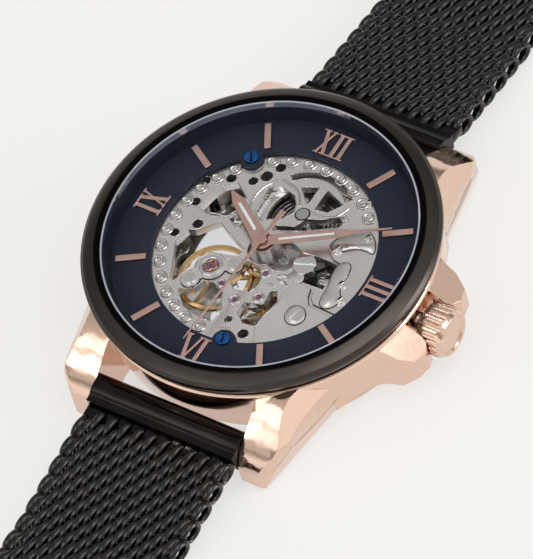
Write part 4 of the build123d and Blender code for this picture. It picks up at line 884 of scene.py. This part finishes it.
    def small_holes(self) -> None:
        """Mark the cover's row of small holes with dark discs of painted shade, where the holes' insides are
        shaded.
        """
        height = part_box("keyless_cover")[1].z + self.lever_thickness * MM
        bm = bmesh.new()
        (x0, y0), (x1, y1) = self.dotted
        for i in range(self.dot_count):
            share = i / (self.dot_count - 1)
            add_disc(bm, ((x0 + (x1 - x0) * share) * MM, (y0 + (y1 - y0) * share) * MM, height), *self.dot)
        # painted shade: dark discs where the small holes are
        add_piece("cover_hole_shade", mesh_from(bm), Finishes.shadow_steel)

    def lower_plate(self) -> None:
        """Lay a curved bridge with polished screw heads low down beside the balance."""
        inner, outer, low, high = self.lower_ring
        first, last = (radians(angle) for angle in self.lower_ring_span)
        profile = ((inner, low), (outer, low), (outer, high), (inner, high))
        bm = lathe(profile, self.lower_ring_steps, span=(first, last))
        for i in range(self.lower_screws):
            turn = first + (last - first) * (i + 0.5) / self.lower_screws
            add_disc(bm, on_circle((inner + outer) / 2 * MM, turn, height=high * MM), *self.lower_screw)
        add_piece("lower_bridge", mesh_from(bm), Finishes.nickel_polished)

    def painted_hole_shade(self) -> None:
        """Lay dark discs of painted shade a little below the plate's round holes, so that the holes look deep
        and shaded.
        """
        height = self.top - self.shade_disc_drop * MM
        bm = bmesh.new()
        for x, y, radius in self.holes:
            radii = (radius * self.shade_disc_share, radius * self.shade_disc_share)
            add_disc(bm, (x * MM, y * MM, height), radii, *self.shade_disc)
        add_piece("painted_hole_shade", mesh_from(bm), Finishes.shadow_steel)

    def rail_set(self) -> None:
        """Raise the polished rails beside the openings."""
        height = self.top
        bm = bmesh.new()
        for line in self.rails:
            points = [Vector((x * MM, y * MM, height)) for x, y in line]
            append_mesh(bm, wire_mesh(points, self.rail_wire * MM, 2, True))
        add_piece("plate_rails", mesh_from(bm), Finishes.nickel_polished)

    def jewel_settings(self) -> None:
        """Set a polished ring round each jewel."""
        low = self.top / MM
        bm = bmesh.new()
        for centre, inner, outer, lift in self.settings:
            base = low + lift
            profile = ((inner, base), (outer, base), (outer, base + 0.05), (outer - 0.06, base + 0.1),
                       (inner + 0.08, base + 0.1), (inner, base + 0.03))
            append_mesh(bm, plain_mesh(lathe(profile, 40, centre)))
        add_piece("jewel_settings", mesh_from(bm), Finishes.nickel_polished, "case")

    def shock_spring(self) -> None:
        """Lay the gilt lyre spring over the balance jewel."""
        centre = tuple(side * MM for side in self.spring_centre)
        height = self.top + self.spring_lift * MM
        points = []
        for i in range(self.spring_points):
            turn = tau * i / self.spring_points
            radius = (self.spring_radius + self.spring_wave * cos(self.spring_lobes * turn)) * MM
            points.append(on_circle(radius, turn, centre, height))
        mesh = wire_mesh(points, self.spring_wire * MM, 2, closed=True)
        add_piece("shock_spring", mesh, Finishes.gilt, "case")


@dataclass
class TrainWork:
    """Wheels, barrel, escapement, balance, winding work and rotor."""

    steel_nodes: tuple[str, ...] = (
        "barrel_arbor", "ratchet_wheel", "crown_wheel", "barrel", "mainspring", "sliding_clutch",
        "winding_pinion", "setting_lever", "setting_wheel", "minute_wheel", "cannon_pinion", "hour_wheel",
        "seconds_pinion", "escape_wheel", "pallet_fork", "hairspring")
    gilt_nodes: tuple[str, ...] = ("centre_wheel", "third_wheel", "fourth_wheel", "balance_wheel")
    barrel_centre: Point = (1.4, 6.0)
    crown_profile: Line = ((4.45, 7.13), (5.2, 7.13), (5.2, 7.27), (4.55, 7.27))
    crown_steps: int = 156
    crown_teeth: int = 78
    tooth: Triple = (0.42, 0.2, 0.14)
    tooth_place: Point = (5.36, 7.2)

    def toothed_crown(self) -> None:
        """Set a polished toothed crown on the barrel's cover."""
        x, y = self.barrel_centre
        radius, height = self.tooth_place
        bm = lathe(self.crown_profile, self.crown_steps, self.barrel_centre)
        for i in range(self.crown_teeth):
            add_box(bm, self.tooth, Matrix.Translation((x * MM, y * MM, height * MM))
                    @ Matrix.Rotation(tau * i / self.crown_teeth, 4, "Z")
                    @ Matrix.Translation((radius * MM, 0, 0)))
        add_piece("barrel_crown", mesh_from(bm), Finishes.nickel_polished, body_of("barrel"))

    def build(self) -> None:
        """Dress the moving parts of the movement."""
        self.toothed_crown()
        dress(Finishes.steel, *self.steel_nodes)
        dress(Finishes.gilt, *self.gilt_nodes)
        dress(Finishes.rotor, "rotor")


@dataclass
class StrapPath:
    """Line of the mesh's middle from the spring bar outwards, rounded where the strap bends."""

    points: Line
    rounding: float = 5.0

    def at(self, distance: float) -> Triple:
        """Find a place on the line.

        Args:
            distance: millimetres along the line from the spring bar.

        Returns:
            Distance from the dial's axis, height, and slope in radians.
        """
        left = distance
        runs = list(zip(self.points, self.points[1:]))
        for index, ((y0, z0), (y1, z1)) in enumerate(runs):
            length = hypot(y1 - y0, z1 - z0)
            if left <= length or index == len(runs) - 1:
                break
            left -= length
        slopes = [atan2(b[1] - a[1], b[0] - a[0]) for a, b in runs]
        slope = slopes[index]
        share = left / length
        y, z = y0 + (y1 - y0) * share, z0 + (z1 - z0) * share
        for away, other in ((length - left, index + 1), (left, index - 1)):
            if away < self.rounding and 0 <= other < len(runs):
                slope += (slopes[other] - slopes[index]) * (0.5 - 0.5 * away / self.rounding)
                break
        return y, z, slope


@dataclass
class MeshStrap:
    """Strap of interlaced flat coils, one row after another."""

    pitch: float = 1.77
    row: float = 1.29
    reach: float = 1.42
    rise: float = 1.06
    wire: float = 0.46
    sides: int = 10
    turns: int = 10
    steps: int = 14
    flat_from: float = 1.2
    loop_turn: float = 0.16
    first_row: float = 3.65
    last_gap: float = 1.3
    pressed: float = 0.5
    loop_squash: Point = (0.92, 0.97)
    paths: tuple[tuple[str, int, Line], ...] = (
        ("12", 1, (SPRING_BAR, FIRST_BEND, (60.0, 1.45), (79.5, 1.45))),
        ("6", -1, (SPRING_BAR, FIRST_BEND, (60.0, 1.45), (82.0, 2.4), (124.0, 2.4))))
    bend_reach: float = 5.0

    def coil(self) -> Mesh:
        """Wind one row's coil across the strap, flattened above and below."""
        bm = bmesh.new()
        lean = atan2(self.pitch, tau * self.reach)
        start = (Matrix.Translation((-self.pitch * self.turns / 2 * MM, 0, -self.reach * MM))
                 @ Matrix.Rotation(pi / 2, 4, "X") @ Matrix.Rotation(-lean, 4, "Y"))
        bmesh.ops.create_circle(bm, cap_ends=False, segments=self.sides, radius=self.wire * MM, matrix=start)
        bmesh.ops.spin(bm, geom=bm.verts[:] + bm.edges[:], cent=(0, 0, 0), axis=(-1, 0, 0),
                       dvec=(self.pitch * MM / self.steps, 0, 0), angle=tau * self.turns,
                       steps=self.turns * self.steps, use_merge=False, use_duplicate=False)
        bmesh.ops.holes_fill(bm, edges=[e for e in bm.edges if e.is_boundary], sides=self.sides)
        bmesh.ops.scale(bm, vec=(1.0, 1.0, self.rise / self.reach), verts=bm.verts)
        for vertex in bm.verts:
            height = abs(vertex.co.z) / MM
            if height > self.flat_from:
                height = self.flat_from + (height - self.flat_from) * self.pressed
                vertex.co.z = copysign(height * MM, vertex.co.z)
        return mesh_from(bm)

    def end_loop(self) -> Mesh:
        """Bend the closed loop that ends a row at the strap's edge."""
        bm = bmesh.new()
        start = Matrix.Translation((0, 0, -self.reach * MM)) @ Matrix.Rotation(pi / 2, 4, "X")
        bmesh.ops.create_circle(bm, cap_ends=False, segments=self.sides, radius=self.wire * MM, matrix=start)
        bmesh.ops.spin(bm, geom=bm.verts[:] + bm.edges[:], cent=(0, 0, 0), axis=(-1, 0, 0), angle=tau,
                       steps=2 * self.steps, use_merge=True, use_duplicate=False)
        along, up = self.loop_squash
        bmesh.ops.scale(bm, vec=(1.0, along, self.rise / self.reach * up), verts=bm.verts)
        bmesh.ops.rotate(bm, cent=(0, 0, 0), matrix=Matrix.Rotation(-self.loop_turn, 3, "Z"), verts=bm.verts)
        return mesh_from(bm)

    def build(self) -> None:
        """Weave both halves in pieces that cross one hinge each."""
        coil, loop = self.coil(), self.end_loop()
        for name, side, points in self.paths:
            self.half(name, side, StrapPath(points), coil, loop)

    def half(self, name: str, side: int, path: StrapPath, coil: Mesh,
             loop: Mesh) -> None:
        """Weave one half of the strap.

        Args:
            name: the half, 12 or 6.
            side: 1 toward 12 o'clock and -1 toward 6.
            path: the line of the mesh.
            coil: one row's coil.
            loop: the loop that ends a row at the edge it reaches.
        """
        lengths = [hypot(b[0] - a[0], b[1] - a[1]) for a, b in zip(path.points, path.points[1:])]
        ends = [sum(lengths[:i]) for i in range(len(lengths) + 1)]
        rows = int((ends[-1] - self.last_gap - self.first_row) / self.row) + 1
        cuts = [0.0] + [(ends[i] + ends[i + 1]) / 2 for i in range(1, len(lengths) - 1)] + [ends[-1]]
        letters = "abcd"
        for index in range(len(cuts) - 1):
            bm = bmesh.new()
            for i in range(rows):
                distance = self.first_row + i * self.row
                if not cuts[index] <= distance < cuts[index + 1]:
                    continue
                y, z, slope = path.at(distance)
                shift = self.pitch / 4 * (1 if i % 2 else -1)
                place = (Matrix.Rotation(0.0 if side > 0 else pi, 4, "Z")
                         @ Matrix.Translation((shift * MM, y * MM, z * MM)) @ Matrix.Rotation(slope, 4, "X"))
                append_mesh(bm, coil, place)
                edge = copysign(self.pitch * self.turns / 2 * MM, shift)
                append_mesh(bm, loop, place @ Matrix.Translation((edge, 0, 0)))
            piece = add_piece(f"weave_{name}_{index + 1}", plain_mesh(bm), Finishes.wire, None)
            bend = ends[index + 1]
            before, after = path.at(bend - self.bend_reach), path.at(bend + self.bend_reach)
            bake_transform(piece)
            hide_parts(f"mesh_{name}{letters[index]}")
            if index == len(cuts) - 2:
                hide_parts(f"mesh_{name}{letters[index + 1]}")


@dataclass
class StrapFittings:
    """End tubes, hook bar and sliding clasp."""

    slope: float = atan2(SPRING_BAR[1] - FIRST_BEND[1], FIRST_BEND[0] - SPRING_BAR[0])
    tongue_sides: Triple = (19.4, 2.7, 1.3)
    tongue_bevel: float = 0.15
    tube_reach: float = 2.85
    hook_reach: float = 0.85
    nodes: tuple[str, ...] = ("strap_end_12", "strap_end_6", "hook_bar", "clasp_housing", "clasp_lever",
                              "clasp_flap")

    def build(self) -> None:
        """Dress the fittings."""
        for node in self.nodes:
            refined_copy(node, Finishes.black)
        for node, side in (("strap_end_12", 1), ("strap_end_6", -1)):
            low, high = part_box(node)
            self.tongue(node, (low + high) / 2, side * self.tube_reach, -side * self.slope)
        low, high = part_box("hook_bar")
        self.tongue("hook_bar", Vector((0, low.y, (low.z + high.z) / 2)), -self.hook_reach, 0.0)

    def tongue(self, node: str, middle: Vector, reach: float, slope: float) -> None:
        """Fill behind the last row of the mesh with the strip that grips it.

        Args:
            node: the fitting that the strip belongs to.
            middle: the point that it is measured from.
            reach: from that point to the strip's middle, in millimetres toward 12 o'clock.
            slope: its turn about X in radians.
        """
        bm = bmesh.new()
        add_box(bm, self.tongue_sides, Matrix.Translation(middle) @ Matrix.Rotation(slope, 4, "X")
                @ Matrix.Translation((0, reach * MM, 0)))
        round_edges(bm, bm.edges[:], self.tongue_bevel * MM)
        add_piece(node + "_tongue", mesh_from(bm), Finishes.black, body_of(node))


@dataclass
class Studio:
    """Pale floor, soft lights and the camera."""

    azimuth: float = -42.955
    elevation: float = 52.811
    roll: float = -18.912
    distance: float = 684.8
    target: Triple = (2.89, -4.009, 9.4)
    focal_length: float = 389.7
    floor_colour: Colour = (0.91, 0.90, 0.885)
    floor_glow: float = 0.72
    brightness: float = 1.2
    warmth: Colour = (1.0, 0.99, 0.975)
    by_height: Line = ((0.0, 0.85), (0.22, 0.95), (0.36, 0.3), (0.52, 0.35), (0.72, 0.8),
                                    (1.0, 0.8))
    by_side: Line = ((0.0, 1.0), (0.55, 0.9), (0.85, 0.62), (1.0, 0.55))
    dim_side: Triple = (-0.442, 0.412, 0.797)
    lamps: tuple[tuple[str, Triple, Point, float], ...] = (
        ("overhead_softbox", (260, 60, 640), (420, 360), 0.9),
        ("side_softbox", (560, 260, 250), (320, 220), 1.5),
        ("front_softbox", (-120, -420, 520), (460, 300), 0.5),
        ("sloping_softbox", (-290, -470, 360), (240, 240), 0.055),
        ("glint_lamp", (-286, -463, 355), (22, 22), 0.022),
        ("top_glint_lamp", (-200, 120, 560), (36, 36), 0.07))

    def build(self) -> None:
        """Set up the floor, the surroundings, the lights and the camera."""
        self.floor()
        self.surroundings()
        for name, place, size, power in self.lamps:
            self.lamp(name, place, size, power)
        self.camera()

    def floor(self) -> None:
        """Lay the pale floor."""
        sheet = NodeSheet("pale_floor")
        cloud = sheet.grain(Grain.EVEN, 60 * MM, 1.0)
        low = tuple(0.99 * c for c in self.floor_colour)
        tone = sheet.ramp(cloud, [(0.3, low), (0.7, self.floor_colour)])
        matt = sheet.add("BsdfDiffuse", {"Color": tone})
        glow = sheet.add("Emission", {"Color": tone, "Strength": 1.0})
        mix = sheet.add("MixShader", {0: self.floor_glow, 1: matt.outputs[0], 2: glow.outputs[0]})
        bm = bmesh.new()
        bmesh.ops.create_grid(bm, x_segments=1, y_segments=1, size=3.0)
        bmesh.ops.translate(bm, vec=(0, 0, -0.3 * MM), verts=bm.verts)
        mesh = plain_mesh(bm)
        mesh.materials.append(sheet.close(mix))
        floor = link_object("floor", mesh)

    def surroundings(self) -> None:
        """Surround the watch with a studio that is bright above and dimmer half way up."""
        sheet = NodeSheet("studio", world=True)
        bpy.context.scene.world = sheet.owner
        way = sheet.add("TexCoord").outputs["Generated"]
        height = sheet.add("SeparateXYZ", {0: way}).outputs["Z"]
        side = sheet.add("VectorMath", {0: way, 1: self.dim_side}, operation="DOT_PRODUCT")
        factors = ((height, self.by_height), (side.outputs["Value"], self.by_side))
        levels = [sheet.ramp(factor, [(place, tuple(level * share for share in self.warmth))
                                      for place, level in stops]) for factor, stops in factors]
        product = sheet.add("Mix", data_type="RGBA", blend_type="MULTIPLY",
                            inputs={"Factor": 1.0, 6: levels[0], 7: levels[1]})
        sheet.close(sheet.add("Background", {"Color": product.outputs[2],
                                                       "Strength": self.brightness}))

    def lamp(self, name: str, place: Triple, size: Point, power: float) -> None:
        """Hang a rectangular softbox that faces the watch.

        Args:
            name: the light's name.
            place: its middle, in millimetres.
            size: its width and height, in millimetres.
            power: its power in watts.
        """
        light = bpy.data.lights.new(name, "AREA")
        light.shape = "RECTANGLE"
        light.size, light.size_y = size[0] * MM, size[1] * MM
        light.energy = power
        holder = link_object(name, light)
        holder.location = Vector(place) * MM
        holder.rotation_euler = (-holder.location).to_track_quat("-Z", "Y").to_euler()

    def camera(self) -> None:
        """Place the camera at the watch's usual three-quarter angle."""
        turned, raised = radians(self.azimuth), radians(self.elevation)
        back = on_circle(cos(raised), turned, height=sin(raised))
        side = (-back).cross(Vector((0, 0, 1))).normalized()
        upright = side.cross(-back)
        tilt = radians(self.roll)
        right = side * cos(tilt) + upright * sin(tilt)
        up = upright * cos(tilt) - side * sin(tilt)
        turn = Matrix((right, up, back)).transposed()
        camera = bpy.data.cameras.new("camera")
        camera.lens = self.focal_length
        camera.sensor_width = 36.0
        camera.clip_start, camera.clip_end = 0.05, 20.0
        holder = link_object("camera", camera)
        place = Matrix.Translation((Vector(self.target) + back * self.distance) * MM)
        holder.matrix_world = place @ turn.to_4x4()
        bpy.context.scene.camera = holder


def main() -> None:
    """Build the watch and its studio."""
    logging.basicConfig(level=logging.INFO, format="%(name)s: %(message)s")
    bpy.context.scene.view_settings.view_transform = "Standard"
    for part in (Studio(), CaseWork(), DialWork(), PlateWork(), TrainWork(), MeshStrap(), StrapFittings()):
        part.build()
        LOG.info("%s is done", type(part).__name__)


if __name__ == "__main__":
    main()
